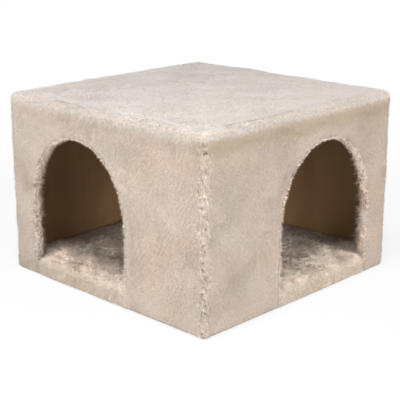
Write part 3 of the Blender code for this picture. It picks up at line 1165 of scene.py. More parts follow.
        # Painted shade at the roots: less under the painted sheen, and more where the pile is
        # rough, whose strands are painted paler all along as painted highlight.
        shade = self.root_shade * (1 - 0.8 * upper) + 3.2 * rough
        own = (own + rough)[:, None] - shade[:, None] * (1 - points[None, :, 2])
        tone = mesh.attributes.new(STRAND_TONE, "FLOAT", "POINT")
        tone.data.foreach_set("value", own.astype(np.float32).ravel())
        # The share of the painted sheen, more where the pile is rough.
        pale = mesh.attributes.new(PAINTED_SHEEN, "FLOAT", "POINT")
        share = np.clip(upper + 0.35 * rough, 0.0, 1.0)
        pale.data.foreach_set("value", np.repeat(share, len(points)).astype(np.float32))
        patch = np.where(points[:, 2:3] > 0.5, 1.0, (points[:, :2] + 1) / 2) * STRAND_PATCH
        spots = (self.flat(roots)[:, None, :] + patch[None]).reshape(-1, 2)
        layer = mesh.uv_layers.new(name=PILE_MAP)
        layer.uv.foreach_set("vector", spots[loops].astype(np.float32).ravel())

    def plant(self, material: bpy.types.Material) -> list[bpy.types.Object]:
        """Plants the strands, in as many pieces as keep each one small.

        Args:
            material: The strands' material.

        Returns:
            The pieces.
        """
        rng = np.random.default_rng(self.seed)
        roots, normals = self._roots(rng)
        strands = Strands(roots, normals, self._ways(roots, normals, rng))
        parts = -(-len(roots) // MOST_STRANDS)
        order = np.argsort(self.flat(roots)[:, 0], kind="stable")
        made = []
        for number, chosen in enumerate(np.array_split(order, parts), 1):
            name = self.name if parts == 1 else f"{self.name}_{number}"
            mesh = self._mesh(name, strands.pick(chosen), rng)
            mesh.materials.append(material)
            piece = to_scene(name, mesh)
            seat(piece, Slot.PLUSH)
            made.append(piece)
            log.info("%s: %d strands", name, len(chosen))
        return made


def hem_pile(
    name: str, cloth: bpy.types.Object, wanted: FacedField, flat: Field, seed: int
) -> Pile:
    """The short, flattened pile of a cloth's edge that is turned under the base.

    Args:
        name: The name of its piece.
        cloth: The cloth.
        wanted: Which faces it stands on.
        flat: Its map.
        seed: The seed of its draws.

    Returns:
        The pile.
    """
    sizes = {"density": 300000.0, "length": 0.0034, "lean": radians(78)}
    return Pile(name, cloth, wanted, outwards, flat, seed, clump=0.05, wild=0.03, **sizes)


@dataclass
class Cover:
    """The plush over the roof and the four sides, turned under at the foot.

    Attributes:
        sunk: How far inside the cave's outer faces the backing lies, to leave room for the pile.
        under: The level of the edge that is turned under.
        corner: The backing's radius along the box's upper and upright edges.
        curl: Its radius at the foot.
        hole: How far outside a doorway's plush edge the backing ends.
        slack: The most that a flat stretch sinks.
        roll: How far below the top the roll along the roof's edge ends.
        map_span: The width of the flat map.
        wall_depth: How far behind a side's face a spot still belongs to that side.
    """

    backing: bpy.types.Material
    pile: bpy.types.Material
    sunk: float = 0.0029
    thick: float = 0.0008
    under: float = 0.0013
    corner: float = 0.0110
    curl: float = 0.0072
    grid: float = 0.007
    hole: float = 0.0044
    slack: float = 0.0009
    roll: float = 0.032
    map_span: float = 0.46
    wall_depth: float = 0.05

    def _solid(self, deeper: float) -> bmesh.types.BMesh:
        """Makes the rounded box that the cloth's outer or inner face follows.

        Args:
            deeper: How far it lies inside the outer face.

        Returns:
            The shape.
        """
        inset = self.sunk + deeper
        half, top, low = BOX.half - inset, BOX.top - inset, self.under + deeper
        shape = box((-half, -half, low), (half, half, top))
        foot = low + 1e-5
        upper = [e for e in shape.edges if highest(e) > foot]
        round_edges(shape, upper, self.corner - deeper, 7)
        lower = [e for e in shape.edges if highest(e) < foot]
        round_edges(shape, lower, self.curl - deeper, 4)
        ease(shape)
        return shape

    def _shell(self) -> bpy.types.Object:
        """Makes the plain backing: a hollow box, open under the base and at the doorways.

        Returns:
            The object.
        """
        cloth = to_object("cover_cloth", self._solid(0.0), self.backing)
        open_half = BOX.board - BOX.hem
        opening = box((-open_half, -open_half, -0.01), (open_half, open_half, 0.02))
        doors = (door.cutter(self.hole) for door in DOORWAYS)
        cut_away(cloth, [self._solid(self.thick), opening, *doors])
        return cloth

    def _puff(self, spots: np.ndarray, normals: np.ndarray) -> np.ndarray:
        """How far the cloth stands out of its plain shape: at the roll, the rim and the seams.

        Args:
            spots: Where on the cloth.
            normals: The ways out there.

        Returns:
            The distances. On a flat stretch they don't fall below the cloth's slack.
        """
        below, edge = BOX.below(spots), BOX.inset(spots)
        waver = self._waver(spots)
        on_side = step(np.abs(normals[:, 2]), 0.9, 0.4)
        roll = -0.0007 * hump(below + waver, self.roll, 0.006) * on_side
        roll += 0.0009 * hump(below + 0.4 * waver, 0.012, 0.010) * on_side
        on_roof = step(normals[:, 2], 0.5, 0.95)
        rim = -0.0003 * hump(edge + waver, 0.026, 0.009) + 0.0004 * hump(edge, 0.008, 0.009)
        soft = 0.0005 * Drift(Seed.PUFF, 0.10)(spots)
        soft += 0.0002 * Drift(Seed.SMALL_PUFF, 0.035)(spots)
        soft *= step(spots[:, 2], 0.004, 0.03)
        bent = step(1 - np.abs(normals).max(axis=1), 0.004, 0.03)
        to_faces = np.stack([*(BOX.half - np.abs(spots[:, :2].T)), below])
        to_edge = np.sort(to_faces, axis=0)[1]
        deepest = -self.slack * (1 - bent) * step(to_edge, 0.009, 0.036)
        return np.maximum(roll + rim * on_roof + soft + 0.0008 * self._at_seam(spots), deepest)

    def _waver(self, spots: np.ndarray) -> np.ndarray:
        """How far the lines along the roof's edge stray from straight."""
        return 0.0035 * Drift(Seed.ROLL, 0.09)(spots)

    def _outside_doors(self, spots: np.ndarray) -> np.ndarray:
        """How far each spot lies outside the doorway of its side: a metre or more if it has none.

        Args:
            spots: Where on the cloth.

        Returns:
            The distances.
        """
        elsewhere = [1.0 * (door.depth(spots) > self.wall_depth) for door in DOORWAYS]
        pairs = zip(DOORWAYS, elsewhere)
        return np.minimum(*(door.outside(spots) + far for door, far in pairs))

    def _at_seam(self, spots: np.ndarray) -> np.ndarray:
        """Is 1 on the seams down the upright corners and 0 some millimetres away.

        Args:
            spots: Where on the cloth.

        Returns:
            The shares, which are full only at the rubbed corner in front.
        """
        waver = 0.0022 * Drift(Seed.SEAM, 0.03)(spots)
        rubbed = 0.25 + 0.75 * step(spots[:, 0] - spots[:, 1], 0.3, 0.4)
        near = step(nearer(spots) + waver, BOX.half - 0.0185, BOX.half - 0.0095)
        return rubbed * near * step(BOX.below(spots), 0.006, 0.03)

    def _outwardness(self, spots: np.ndarray, normals: np.ndarray) -> np.ndarray:
        """How much each normal points away from the box's middle: less than 0 inside."""
        return ((spots - np.array([0.0, 0.0, BOX.top / 2])) * normals).sum(axis=1)

    def cloth(self) -> bpy.types.Object:
        """Builds the backing.

        Returns:
            The piece.
        """
        made = self._shell()
        shape = open_mesh(made)
        bpy.data.objects.remove(made)
        span = BOX.half - BOX.edge
        lines = np.arange(-span, span + 1e-4, self.grid)
        slice_up(shape, 0, lines)
        slice_up(shape, 1, lines)
        slice_up(shape, 2, np.arange(self.grid, BOX.top - BOX.edge, self.grid))
        settle(shape)
        spots, normals = places(shape), np.array([v.normal for v in shape.verts])
        inner = self._outwardness(spots, normals) < 0
        puff = self._puff(spots, np.where(inner[:, None], -normals, normals))
        for vert, normal, lift, within in zip(shape.verts, normals, puff, inner):
            vert.co += Vector(normal) * float(-lift if within else lift)
        made = to_object("cover_cloth", shape, self.backing)
        seat(made, Slot.PLUSH, "plush_cover", "cover_hem_rear", "cover_hem_front")
        return made

    def plant(self, cloth: bpy.types.Object) -> list[bpy.types.Object]:
        """Plants the pile on the backing, panel by panel.

        Args:
            cloth: The backing.

        Returns:
            The pieces of pile.
        """
        made = []
        for number, side in enumerate(Side):
            made += Pile(
                name=f"pile_{side.word}",
                cloth=cloth,
                wanted=partial(self._on_side, side),
                nap=self._nap,
                flat=partial(self._upright_map, side),
                seed=Seed.SIDE_PILE + 20 * number,
                laid=self._laid,
                trim=self._trim,
                rough=self._at_seam,
                darker=self._dashes,
                kept=self._kept,
            ).plant(self.pile)
        made += Pile(
            name="pile_roof",
            cloth=cloth,
            wanted=self._on_roof,
            nap=self._nap,
            flat=self._level_map,
            seed=Seed.ROOF_PILE,
            density=560000.0,
            lean=radians(70),
            sway=0.03,
            swirl=0.16,
            clump=0.06,
            wild=0.09,
            root_shade=0.3,
            trim=self._trim,
            darker=self._roof_shade,
        ).plant(self.pile)
        hem = hem_pile("pile_hem", cloth, self._on_hem, self._level_map, Seed.HEM_PILE)
        return made + hem.plant(self.pile)

    def _level_map(self, spots: np.ndarray) -> np.ndarray:
        """The flat map of the roof and of the edge under the base."""
        return spots[:, :2] / self.map_span + 0.5

    def _upright_map(self, side: Side, spots: np.ndarray) -> np.ndarray:
        """The flat map of a side."""
        along, up = spots @ side.along / self.map_span, spots[:, 2] / self.map_span
        return np.stack([along + 0.5, up + 0.1], axis=1)

    def _is_outer(self, spots: np.ndarray, normals: np.ndarray) -> np.ndarray:
        """Whether a face looks out of the box."""
        return self._outwardness(spots, normals) > 0.02

    def _on_roof(self, spots: np.ndarray, normals: np.ndarray) -> np.ndarray:
        """Whether a face belongs to the roof's panel."""
        return self._is_outer(spots, normals) & (normals[:, 2] > 0.707)

    def _on_hem(self, spots: np.ndarray, normals: np.ndarray) -> np.ndarray:
        """Whether a face belongs to the edge under the base."""
        return self._is_outer(spots, normals) & (normals[:, 2] < -0.8)

    def _on_side(self, side: Side, spots: np.ndarray, normals: np.ndarray) -> np.ndarray:
        """Whether a face belongs to a side's panel.

        Args:
            side: The side.
            spots: The faces' middles.
            normals: The ways that they look.

        Returns:
            True for each face of the panel.
        """
        facing, across = normals @ side.out, np.abs(normals @ side.along)
        upright = np.abs(normals[:, 2] + 0.05) <= 0.757
        return self._is_outer(spots, normals) & upright & (facing > across + 1e-9)

    def _nap(self, spots: np.ndarray, normals: np.ndarray) -> np.ndarray:
        """The way that the pile was brushed.

        It runs down the sides, to the back right over the roof, outwards over the roof's edges
        apart from the corner in front, and over the rims into the doorways.

        Args:
            spots: Where on the cloth.
            normals: The cloth's normals there.

        Returns:
            The ways.
        """
        to_back_right = np.array([[0.8, 0.6, -0.2]])
        to_left = np.array([[-1.0, 0.0, 0.0]])
        over = step(BOX.inset(spots), 0.034, 0.010)[:, None]
        in_corner = step(np.minimum(spots[:, 0], -spots[:, 1]), 0.150, 0.195)[:, None]
        over = over * (1 - in_corner)
        out = unit((spots * LEVEL / BOX.half) ** 7)
        turned = to_left * np.maximum(-out[:, 1:2], 0.0)
        swept = to_back_right * (1 - over) ** 2 + 4 * turned * over * (1 - over)
        swept = swept + 1.2 * out * over**2
        on_roof = step(normals[:, 2], 0.55, 0.9)[:, None]
        nap = DOWN * (1 - on_roof) + swept * on_roof
        for door in DOORWAYS:
            near = step(door.outside(spots), 0.013, 0.006)
            near = (near * (door.depth(spots) < self.wall_depth))[:, None]
            middle = np.tile(np.array(door.spot(0.0, 0.0, 0.0)), (len(spots), 1))
            middle[:, 2] = np.minimum(spots[:, 2], door.spring * 0.9)
            nap = nap * (1 - near) + unit(middle - spots) * near
        return nap

    def _at_foot(self, spots: np.ndarray) -> np.ndarray:
        """Is 1 at the foot of the sides and 0 above the sills."""
        return step(spots[:, 2], 0.055, 0.035)

    def _trim(self, spots: np.ndarray) -> np.ndarray:
        """How much of a strand's length is left: less near the ground, more round a doorway.

        Args:
            spots: Where on the cloth.

        Returns:
            The factors on the strands' length.
        """
        rim = step(self._outside_doors(spots), 0.011, 0.005)
        above_ground = 0.4 + 0.6 * step(spots[:, 2], 0.001, 0.008)
        return above_ground * (1 + (0.55 + 0.8 * self._at_foot(spots)) * rim)

    def _laid(self, spots: np.ndarray, normals: np.ndarray) -> np.ndarray:
        """The least lean: more over the top roll and round a doorway, most at its foot.

        Args:
            spots: Where on the cloth.
            normals: The cloth's normals there.

        Returns:
            The angles out of the normals.
        """
        rim = step(self._outside_doors(spots), 0.013, 0.006)
        rim_lean = rim * (radians(66) + radians(10) * self._at_foot(spots))
        return np.maximum(radians(68) * step(normals[:, 2], -0.2, 0.4), rim_lean)

    def _kept(self, spots: np.ndarray) -> np.ndarray:
        """The share of the strands that stand: few of them along the worn rim of a doorway.

        Args:
            spots: Where on the cloth.

        Returns:
            The shares.
        """
        rim = step(self._outside_doors(spots), 0.0062, 0.0050)
        rim = rim * step(Drift(Seed.WORN_RIM, 0.010)(spots), -0.2, 0.9)
        return 1 - 0.8 * rim * step(spots[:, 2], 0.04, 0.06)

    def _roof_shade(self, spots: np.ndarray) -> np.ndarray:
        """How much darker the roof's strands are: at random in specks, and with painted shade
        towards the back left.
        """
        across = spots[:, 1] - spots[:, 0]
        # Random specks, and painted shade growing towards the back left.
        return 0.4 * Drift(Seed.ROOF_SPECKS, 0.0055)(spots) + 1.6 * across

    def _dashes(self, spots: np.ndarray) -> np.ndarray:
        """How much darker the sides' strands are.

        Painted shade darkens them in the partings along the rim of a doorway, in rows and pebbles
        at the seams and in the crease under the top roll, and painted highlight pales the seams
        between the rows. Small specks darken them at random.

        Args:
            spots: Where on the cloth.

        Returns:
            The shares of a strand's tone.
        """
        # Painted shade in the partings along a doorway's rim.
        rim = hump(self._outside_doors(spots), 0.0056, 0.0017) * step(spots[:, 2], 0.05, 0.09)
        partings = Drift(Seed.RIM_PARTINGS, 0.0075)(spots * UPRIGHT)
        rim = rim * step(partings, 0.1, 0.9)
        pebbles = Drift(Seed.PEBBLES, 0.0066)(spots * np.array([[1.0, 1.0, 0.7]]))
        rows = hump(nearer(spots), BOX.half - 0.0070, 0.0018)
        rows = rows * step(Drift(Seed.SEAM_ROWS, 0.009)(spots), 0.2, 0.9)
        # Painted shade in the seams' rows and pebbles, and painted highlight between them.
        seam = self._at_seam(spots) * (2.2 * pebbles + 8.0 * rows - 0.8)
        specks = 0.3 * Drift(Seed.SIDE_SPECKS, 0.0050)(spots)
        # Painted shade in the crease under the top roll.
        crease = 0.6 * hump(BOX.below(spots) + self._waver(spots), self.roll, 0.004)
        return 7.0 * rim + seam + specks + crease


@dataclass
class Edging:
    """The plush strip round a doorway: through the wall, and turned flat onto its inner face.

    Attributes:
        reach: How much longer the strands are along the far jamb's inner edge.
        paler: How much painted light pales the strands of the strip, which lies in shade.
        sunk: How far outside the plush edge the backing lies in the wall.
        turn: The depth at which it turns onto the wall's inner face.
        bend: Its radius there.
        flange: How far outside the plush edge it ends.
        map_span: The width of the flat map.
    """

    door: Doorway
    backing: bpy.types.Material
    pile: bpy.types.Material
    seed: int
    reach: float
    paler: float
    sunk: float = 0.0030
    thick: float = 0.0008
    turn: float = 0.0156
    bend: float = 0.0020
    flange: float = 0.0215
    map_span: float = 0.05

    @property
    def name(self) -> str:
        """The start of the pieces' names."""
        return f"{self.door.side.word}_edging"

    def _section(self) -> list[tuple[float, float, float]]:
        """The strip's path through the wall.

        Returns:
            Its stations, each a distance outside the doorway, a depth and the feet's level.
        """
        path = [(self.sunk + 0.0010, 0.0026), (self.sunk + 0.0003, 0.0029)]
        through = (0.0034, 0.0044, 0.0058, 0.0080, 0.0100, 0.0125)
        path += [(self.sunk, depth) for depth in through]
        for a in quarter(4):
            outside = self.sunk + self.bend - self.bend * cos(a)
            path.append((outside, self.turn - self.bend + self.bend * sin(a)))
        path += [(self.flange * share, self.turn) for share in (0.4, 0.6, 0.8, 1.0)]
        return [(*station, BOX.wall_foot + 0.0004) for station in path]

    def cloth(self) -> bpy.types.Object:
        """Builds the strip's backing.

        Returns:
            The piece.
        """
        shape = bmesh.new()
        first, *others = self._section()
        points = self.door.arch(*first)
        verts = [shape.verts.new(point) for point in points]
        edges = [shape.edges.new(pair) for pair in zip(verts, verts[1:])]
        for station in others:
            verts, edges = draw_out(shape, edges)
            onward = self.door.arch(*station)
            for vert in verts:
                gaps = [(point - vert.co).length_squared for point in points]
                vert.co = onward[gaps.index(min(gaps))]
            points = onward
        self._soften(shape)
        bmesh.ops.solidify(shape, geom=shape.faces, thickness=self.thick)
        ease(shape)
        made = to_object(f"{self.name}_cloth", shape, self.backing)
        seat(made, Slot.PLUSH, f"{self.door.side.word}_door_edging")
        return made

    def _soften(self, shape: bmesh.types.BMesh) -> None:
        """Points the strip's faces into the doorway, and lets it waver.

        Args:
            shape: The strip, as a bare sheet.
        """
        bmesh.ops.recalc_face_normals(shape, faces=shape.faces)
        middle = self.door.spot(0.0, 0.03, self.door.spring)
        if sum(f.normal.dot(middle - f.calc_center_median()) for f in shape.faces) < 0:
            turn_over(shape)
        shape.normal_update()
        for vert, lift in zip(shape.verts, 0.0003 * Drift(Seed.STRIP, 0.025)(places(shape))):
            vert.co += vert.normal * float(lift)

    def plant(self, cloth: bpy.types.Object) -> list[bpy.types.Object]:
        """Plants the strip's pile.

        Args:
            cloth: The backing.

        Returns:
            The pieces of pile.
        """
        return Pile(
            name=f"pile_{self.name}",
            cloth=cloth,
            wanted=self._is_face,
            nap=self._nap,
            flat=self._map,
            seed=self.seed,
            density=520000.0,
            length=0.0052,
            lean=radians(65),
            clump=0.5,
            wild=0.3,
            # The strip takes the painted sheen in full, as painted light on a strip in shade.
            paleness=1.0,
            root_shade=0.3,
            painted_slant_shade=0.0,
            laid=self._laid,
            trim=self._trim,
            darker=self._dashes,
            facing=everywhere,
        ).plant(self.pile)

    def _far(self, spots: np.ndarray) -> np.ndarray:
        """Is 1 on the jamb that is the farther from the front corner, and 0 on the other."""
        return 1.0 * (self.door.across(spots) * self.door.centre > 0)

    def _laid(self, spots: np.ndarray, normals: np.ndarray) -> np.ndarray:
        """The least lean of the strands: the near jamb's lie flatter."""
        return radians(70) * (1 - self._far(spots))

    def _trim(self, spots: np.ndarray) -> np.ndarray:
        """How much longer the strands are: most along the jambs' inner edges, in uneven tufts.

        Args:
            spots: Where on the strip.

        Returns:
            The factors on the strands' length.
        """
        level, spring = spots[:, 2], self.door.spring
        deep = step(self.door.depth(spots), 0.004, 0.012)
        longer = (0.35 + 0.3 * deep) * step(level, spring + 0.09, spring - 0.01)
        high = step(level, spring + 0.13, spring + 0.06)
        longer = longer + self.reach * self._far(spots) * deep * high
        tufts = 1 + 0.25 * Drift(Seed.STRIP_TUFTS, 0.012)(spots)
        return 1 + longer * step(level, 0.03, 0.06) * tufts

    def _dashes(self, spots: np.ndarray) -> np.ndarray:
        """How much darker the strands are: painted shade in the partings along both edges of the
        reveal, and painted light all over it.

        Args:
            spots: Where on the strip.

        Returns:
            The shares of a strand's tone. Below 0 they are paler.
        """
        depth = self.door.depth(spots)
        edges = hump(depth, 0.0028, 0.0018) + 1.2 * step(depth, 0.0095, 0.0145)
        partings = Drift(Seed.STRIP_PARTINGS, 0.0075)(spots * UPRIGHT)
        partings = step(partings, 0.15, 0.9) * step(spots[:, 2], 0.04, 0.08)
        above = step(spots[:, 2], self.door.spring - 0.03, self.door.spring + 0.06)
        # Painted shade in the partings, and painted light over the whole strip, more over the
        # arch.
        return 7.0 * edges * partings - self.paler * (1 + 0.7 * above)

    def _is_face(self, spots: np.ndarray, normals: np.ndarray) -> np.ndarray:
        """Whether a face looks into the doorway or into the cave.

        Args:
            spots: The faces' middles.
            normals: The ways that they look.

        Returns:
            True for each such face.
        """
        out = self.door.side.out
        towards = unit(np.array(self.door.spot(0.0, 0.0, self.door.spring * 0.6)) - spots)
        towards -= (towards @ out)[:, None] * out
        looks_in = (normals * towards).sum(axis=1) > 0.3
        in_hole = looks_in & (self.door.outside(spots) < 0.006)
        on_wall = (normals @ -out > 0.6) & (self.door.depth(spots) > self.turn - 0.0006)
        return in_hole | on_wall

    def _nap(self, spots: np.ndarray, normals: np.ndarray) -> np.ndarray:
        """Brushes the strip: out of the cave, and away from the doorway on its flange.

        Args:
            spots: Where on the strip.
            normals: The strip's normals there.

        Returns:
            The ways.
        """
        on_wall = step(self.door.depth(spots), self.turn - 0.002, self.turn)[:, None]
        middle = np.array(self.door.spot(0.0, self.turn, self.door.spring))
        return self.door.side.out * (1 - on_wall) + (spots - middle) * on_wall + 0.35 * DOWN

    def _map(self, spots: np.ndarray) -> np.ndarray:
        """Lays the strip out flat: along the arch, and across the strip.

        Args:
            spots: Where on the strip.

        Returns:
            The places on the map.
        """
        across, up = self.door.across(spots), spots[:, 2] - self.door.spring
        arch = 0.3 + 0.4 * np.arctan2(np.maximum(up, 0.0), across) / pi
        jambs = np.where(across > 0, 0.3 + up * 2.2, 0.7 - up * 2.2)
        along = np.where(up > 0, arch, jambs)
        outside = np.maximum(self.door.outside(spots), 0.0)
        wide = self.door.depth(spots) / self.map_span + outside / self.map_span
        return np.stack([along * 0.98 + 0.01, wide * 0.9 + 0.05], axis=1)


@dataclass
class Floor:
    """The padded floor: a foam sheet, and plush laid over it and over the two rounded sills.

    Attributes:
        level: The level of the pile's surface.
        sunk: How far under that surface, or behind a side's outer face, the backing lies.
        sill: How far behind a side's outer face a sill's crest lies.
        spring: The level at which a sill's outer face turns into its round top.
        under: The level of the edge that is turned under.
        curl: The backing's radius at the foot.
        foam_rise: How much of the plush's waves the foam follows.
        clear: The gap to the walls and the jambs.
        flange: The gap to the walls with doorways, for the strips on their inner faces.
        widening: How much wider a tongue is outside the wall, as a share.
        widen_from: The depth from which it widens.
        lowest_face: The level under which no standing pile starts.
        end_depth: How deep a sill's ends reach.
        map_span: The width of the flat map.
    """

    backing: bpy.types.Material
    pile: bpy.types.Material
    foam: bpy.types.Material
    level: float = 0.0330
    sunk: float = 0.0036
    thick: float = 0.0008
    sill: float = 0.0138
    spring: float = 0.0192
    under: float = 0.0013
    curl: float = 0.0040
    grid: float = 0.006
    foam_grid: float = 0.016
    foam_rise: float = 0.81
    clear: float = 0.0003
    flange: float = 0.0036
    widening: float = 0.044
    widen_from: float = 0.0075
    lowest_face: float = 0.0022
    end_depth: float = 0.016
    map_span: float = 0.56

    def _outline(self) -> list[Vector]:
        """The floor's outline at the level of its cloth, with a tongue to each sill's crest.

        Returns:
            The corners.
        """
        left, back = -BOX.room_half + self.clear, BOX.room_half - self.clear
        front, right = -BOX.room_half + self.flange, BOX.room_half - self.flange
        half = FRONT_DOOR.half - self.clear
        over, level = BOX.half - self.sill, self.level - self.sunk
        across, along = FRONT_DOOR.centre, RIGHT_DOOR.centre
        flat = [
            (left, front),
            (across - half, front),
            (across - half, -over),
            (across + half, -over),
            (across + half, front),
            (right, front),
            (right, along - half),
            (over, along - half),
            (over, along + half),
            (right, along + half),
            (right, back),
            (left, back),
        ]
        return [Vector((x, y, level)) for x, y in flat]

    def _section(self) -> list[tuple[float, float]]:
        """The cloth's path over a sill and back under the base.

        Returns:
            Its stations, each a depth behind the side's outer face and a level.
        """
        sunk, curl, radius = self.sunk, self.curl, self.sill - self.sunk
        crest = [
            (self.sill - radius * sin(a), self.spring + radius * cos(a)) for a in quarter(12, 1)
        ]
        face = [(sunk, self.spring - drop) for drop in (0.004, 0.008, 0.011)]
        foot = [
            (sunk + curl * (1 - cos(a)), self.under + curl * (1 - sin(a))) for a in quarter(5, 1)
        ]
        hem = [(depth, self.under) for depth in (0.012, 0.018, 0.026, 0.0345)]
        return crest + face + foot + hem

    def lumps(self, spots: np.ndarray) -> np.ndarray:
        """How far the floor rises over its plain level: in soft waves, less so at its edges.

        Args:
            spots: Where on the floor.

        Returns:
            The rises, which are 0 along the walls.
        """
        x, y, room = spots[:, 0], spots[:, 1], BOX.room_half
        inside = step(BOX.inset(spots), self.sill, self.sill + 0.03)
        broad = 0.0011 * (Drift(Seed.FLOOR_WAVES, 0.12)(spots) + 0.6)
        small = 0.0007 * Drift(Seed.FLOOR_LUMPS, 0.035)(spots)
        rise = np.maximum(broad + small, -0.0002) * (0.25 + 0.75 * inside)
        at_door = np.maximum(
            step(FRONT_DOOR.beside(spots), 0.11, 0.10) * (y < -0.15),
            step(RIGHT_DOOR.beside(spots), 0.11, 0.10) * (x > 0.15),
        )
        left_back = np.minimum(room + x, room - y)
        front_right = np.where(at_door > 0.5, 1.0, np.minimum(room - x, room + y))
        return rise * step(np.minimum(left_back, front_right), 0.0, 0.012)

    def cloth(self) -> bpy.types.Object:
        """Builds the backing of the floor's plush.

        Returns:
            The piece.
        """
        shape = bmesh.new()
        shape.faces.new([shape.verts.new(point) for point in self._outline()])
        over = BOX.half - self.sill
        lines = np.arange(-over, over + 1e-4, self.grid)
        slice_up(shape, 0, lines)
        slice_up(shape, 1, lines)
        for door in DOORWAYS:
            self._carry_over(shape, door)
        settle(shape)
        bmesh.ops.recalc_face_normals(shape, faces=shape.faces)
        shape.normal_update()
        plain = self.level - self.sunk - CLOSE
        if sum(v.normal.z for v in shape.verts if v.co.z > plain) < 0:
            turn_over(shape)
        for vert, rise in zip(shape.verts, self.lumps(places(shape))):
            vert.co += vert.normal * float(rise) * (1.0 if vert.co.z > 0.02 else 0.3)
        bmesh.ops.solidify(shape, geom=shape.faces, thickness=self.thick)
        ease(shape)
        made = to_object("floor_cloth", shape, self.backing)
        seat(made, Slot.PLUSH, "floor_plush")
        return made

    def _carry_over(self, shape: bmesh.types.BMesh, door: Doorway) -> None:
        """Carries the end of a tongue over its sill and under the base.

        Args:
            shape: The floor's sheet.
            door: The doorway of the tongue.
        """
        spots = places(shape)
        at_end = (np.abs(door.depth(spots) - self.sill) < 1e-5) & (door.beside(spots) < door.half)
        ends = {vert for vert, there in zip(shape.verts, at_end) if there}
        edges = [e for e in shape.edges if set(e.verts) <= ends]
        last = 1.0
        for depth, level in self._section():
            verts, edges = draw_out(shape, edges)
            wider = float(step(np.array([depth]), self.widen_from, self.sunk)[0])
            wider = 1.0 + self.widening * wider
            for vert in verts:
                across = float(door.across(np.array([vert.co]))[0])
                vert.co = door.spot(across * wider / last, depth, level)
            last = wider

    def pad(self) -> bpy.types.Object:
        """Builds the foam sheet: the model's own shape, with soft crowned edges.

        Returns:
            The piece.
        """
        shape = open_mesh(bpy.data.objects["floor_pad"])
        edges = [e for e in shape.edges if len(e.link_faces) == 2]
        rim = [e for e in edges if e.calc_face_angle(0.0) > radians(60)]
        round_edges(shape, rim, 0.0016, 3)
        lines = np.arange(-BOX.half + 0.01, BOX.half, self.foam_grid)
        slice_up(shape, 0, lines)
        slice_up(shape, 1, lines)
        for vert, rise in zip(shape.verts, self.lumps(places(shape)) * self.foam_rise):
            if vert.co.z > BOX.floor - 0.0005:
                vert.co.z += float(rise)
        bmesh.ops.recalc_face_normals(shape, faces=shape.faces)
        made = to_object("foam_pad", shape, self.foam)
        seat(made, Slot.FOAM, "floor_pad")
        return made

    def plant(self, cloth: bpy.types.Object) -> list[bpy.types.Object]:
        """Plants the pile on the floor and the sills, and the flattened pile under the base.

        Args:
            cloth: The backing.

        Returns:
            The pieces of pile.
        """
        made = Pile(
            name="pile_floor",
            cloth=cloth,
            wanted=self._is_face,
            nap=self._nap,
            flat=self._map,
            seed=Seed.FLOOR_PILE,
            density=380000.0,
            length=0.0078,
            width=0.00052,
            lean=radians(54),
            sway=0.14,
            swirl=0.9,
            clump=0.5,
            tuft=0.011,
            wild=0.2,
            neater=0.0,
            paleness=0.0,
            root_shade=1.4,
            trim=self._trim,
            rough=self._smoothed,
            darker=self._mottle,
            facing=lambda spots: 0.25 + 0.45 * self._lit(spots),
        ).plant(self.pile)
        hem = hem_pile("pile_sill_hem", cloth, self._is_under, self._map, Seed.SILL_HEM_PILE)
        return made + hem.plant(self.pile)

    def _is_face(self, spots: np.ndarray, normals: np.ndarray) -> np.ndarray:
        """Whether a face looks up, or out over a sill.

        Args:
            spots: The faces' middles.
            normals: The ways that they look.

        Returns:
            True for each such face.
        """
        x, y, out_x, out_y = *spots[:, :2].T, *normals[:, :2].T
        outward = (out_x * x + out_y * y) / np.maximum(np.hypot(x, y), 1e-9)
        side = np.maximum(-out_y * (y < 0), out_x * (x > 0))
        over = (farther(spots) > BOX.half - self.sill) & (side > 0.35) & (outward > 0)
        return ((normals[:, 2] > 0.6) | over) & (spots[:, 2] > self.lowest_face)

    def _is_under(self, spots: np.ndarray, normals: np.ndarray) -> np.ndarray:
        """Whether a face looks down from under the base."""
        return (normals[:, 2] < -0.8) & (spots[:, 2] < self.under + 0.0005)

    def _at_sill(self, spots: np.ndarray) -> np.ndarray:
        """Is 1 on the sills and 0 some centimetres inside them."""
        return step(BOX.inset(spots), 0.045, 0.020)

    def _lit(self, spots: np.ndarray) -> np.ndarray:
        """Is 1 in each doorway, where light falls in and the pile was brushed outwards, and less
        farther in.

        Args:
            spots: Where on the floor.

        Returns:
            The shares, which fall off behind two wavy lines.
        """
        wavy = 0.010 * Drift(Seed.FLOOR_LIGHT, 0.05)(spots)
        shares = []
        for door in DOORWAYS:
            depth = door.depth(spots) + wavy
            share = 0.4 * step(depth, 0.078, 0.050) + 0.6 * step(depth, 0.165, 0.125)
            shares.append(share * step(door.beside(spots), door.half + 0.02, door.half - 0.01))
        return np.maximum(*shares)

    def _smoothed(self, spots: np.ndarray) -> np.ndarray:
        """How rough the pile is: less than elsewhere on the sills and where light falls in."""
        return -0.6 * np.maximum(self._at_sill(spots), 0.85 * self._lit(spots))

    def _mottle(self, spots: np.ndarray) -> np.ndarray:
        """How much darker strands are: in random spots, with painted light on the right and where
        light falls into the doorways.

        Args:
            spots: Where on the floor.

        Returns:
            The shares of a strand's tone. Below 0 they are paler.
        """
        small, broad = Drift(Seed.FLOOR_SPOTS, 0.008)(spots), Drift(Seed.FLOOR_CLOUDS, 0.02)(spots)
        spotted = (0.8 * small + 0.5 * broad) * (1 - self._at_sill(spots))
        # Painted light: a pool where light falls into each doorway, and a paler right of the
        # floor.
        return spotted - 1.2 * self._lit(spots) - 2.2 * step(spots[:, 0], 0.02, 0.12)

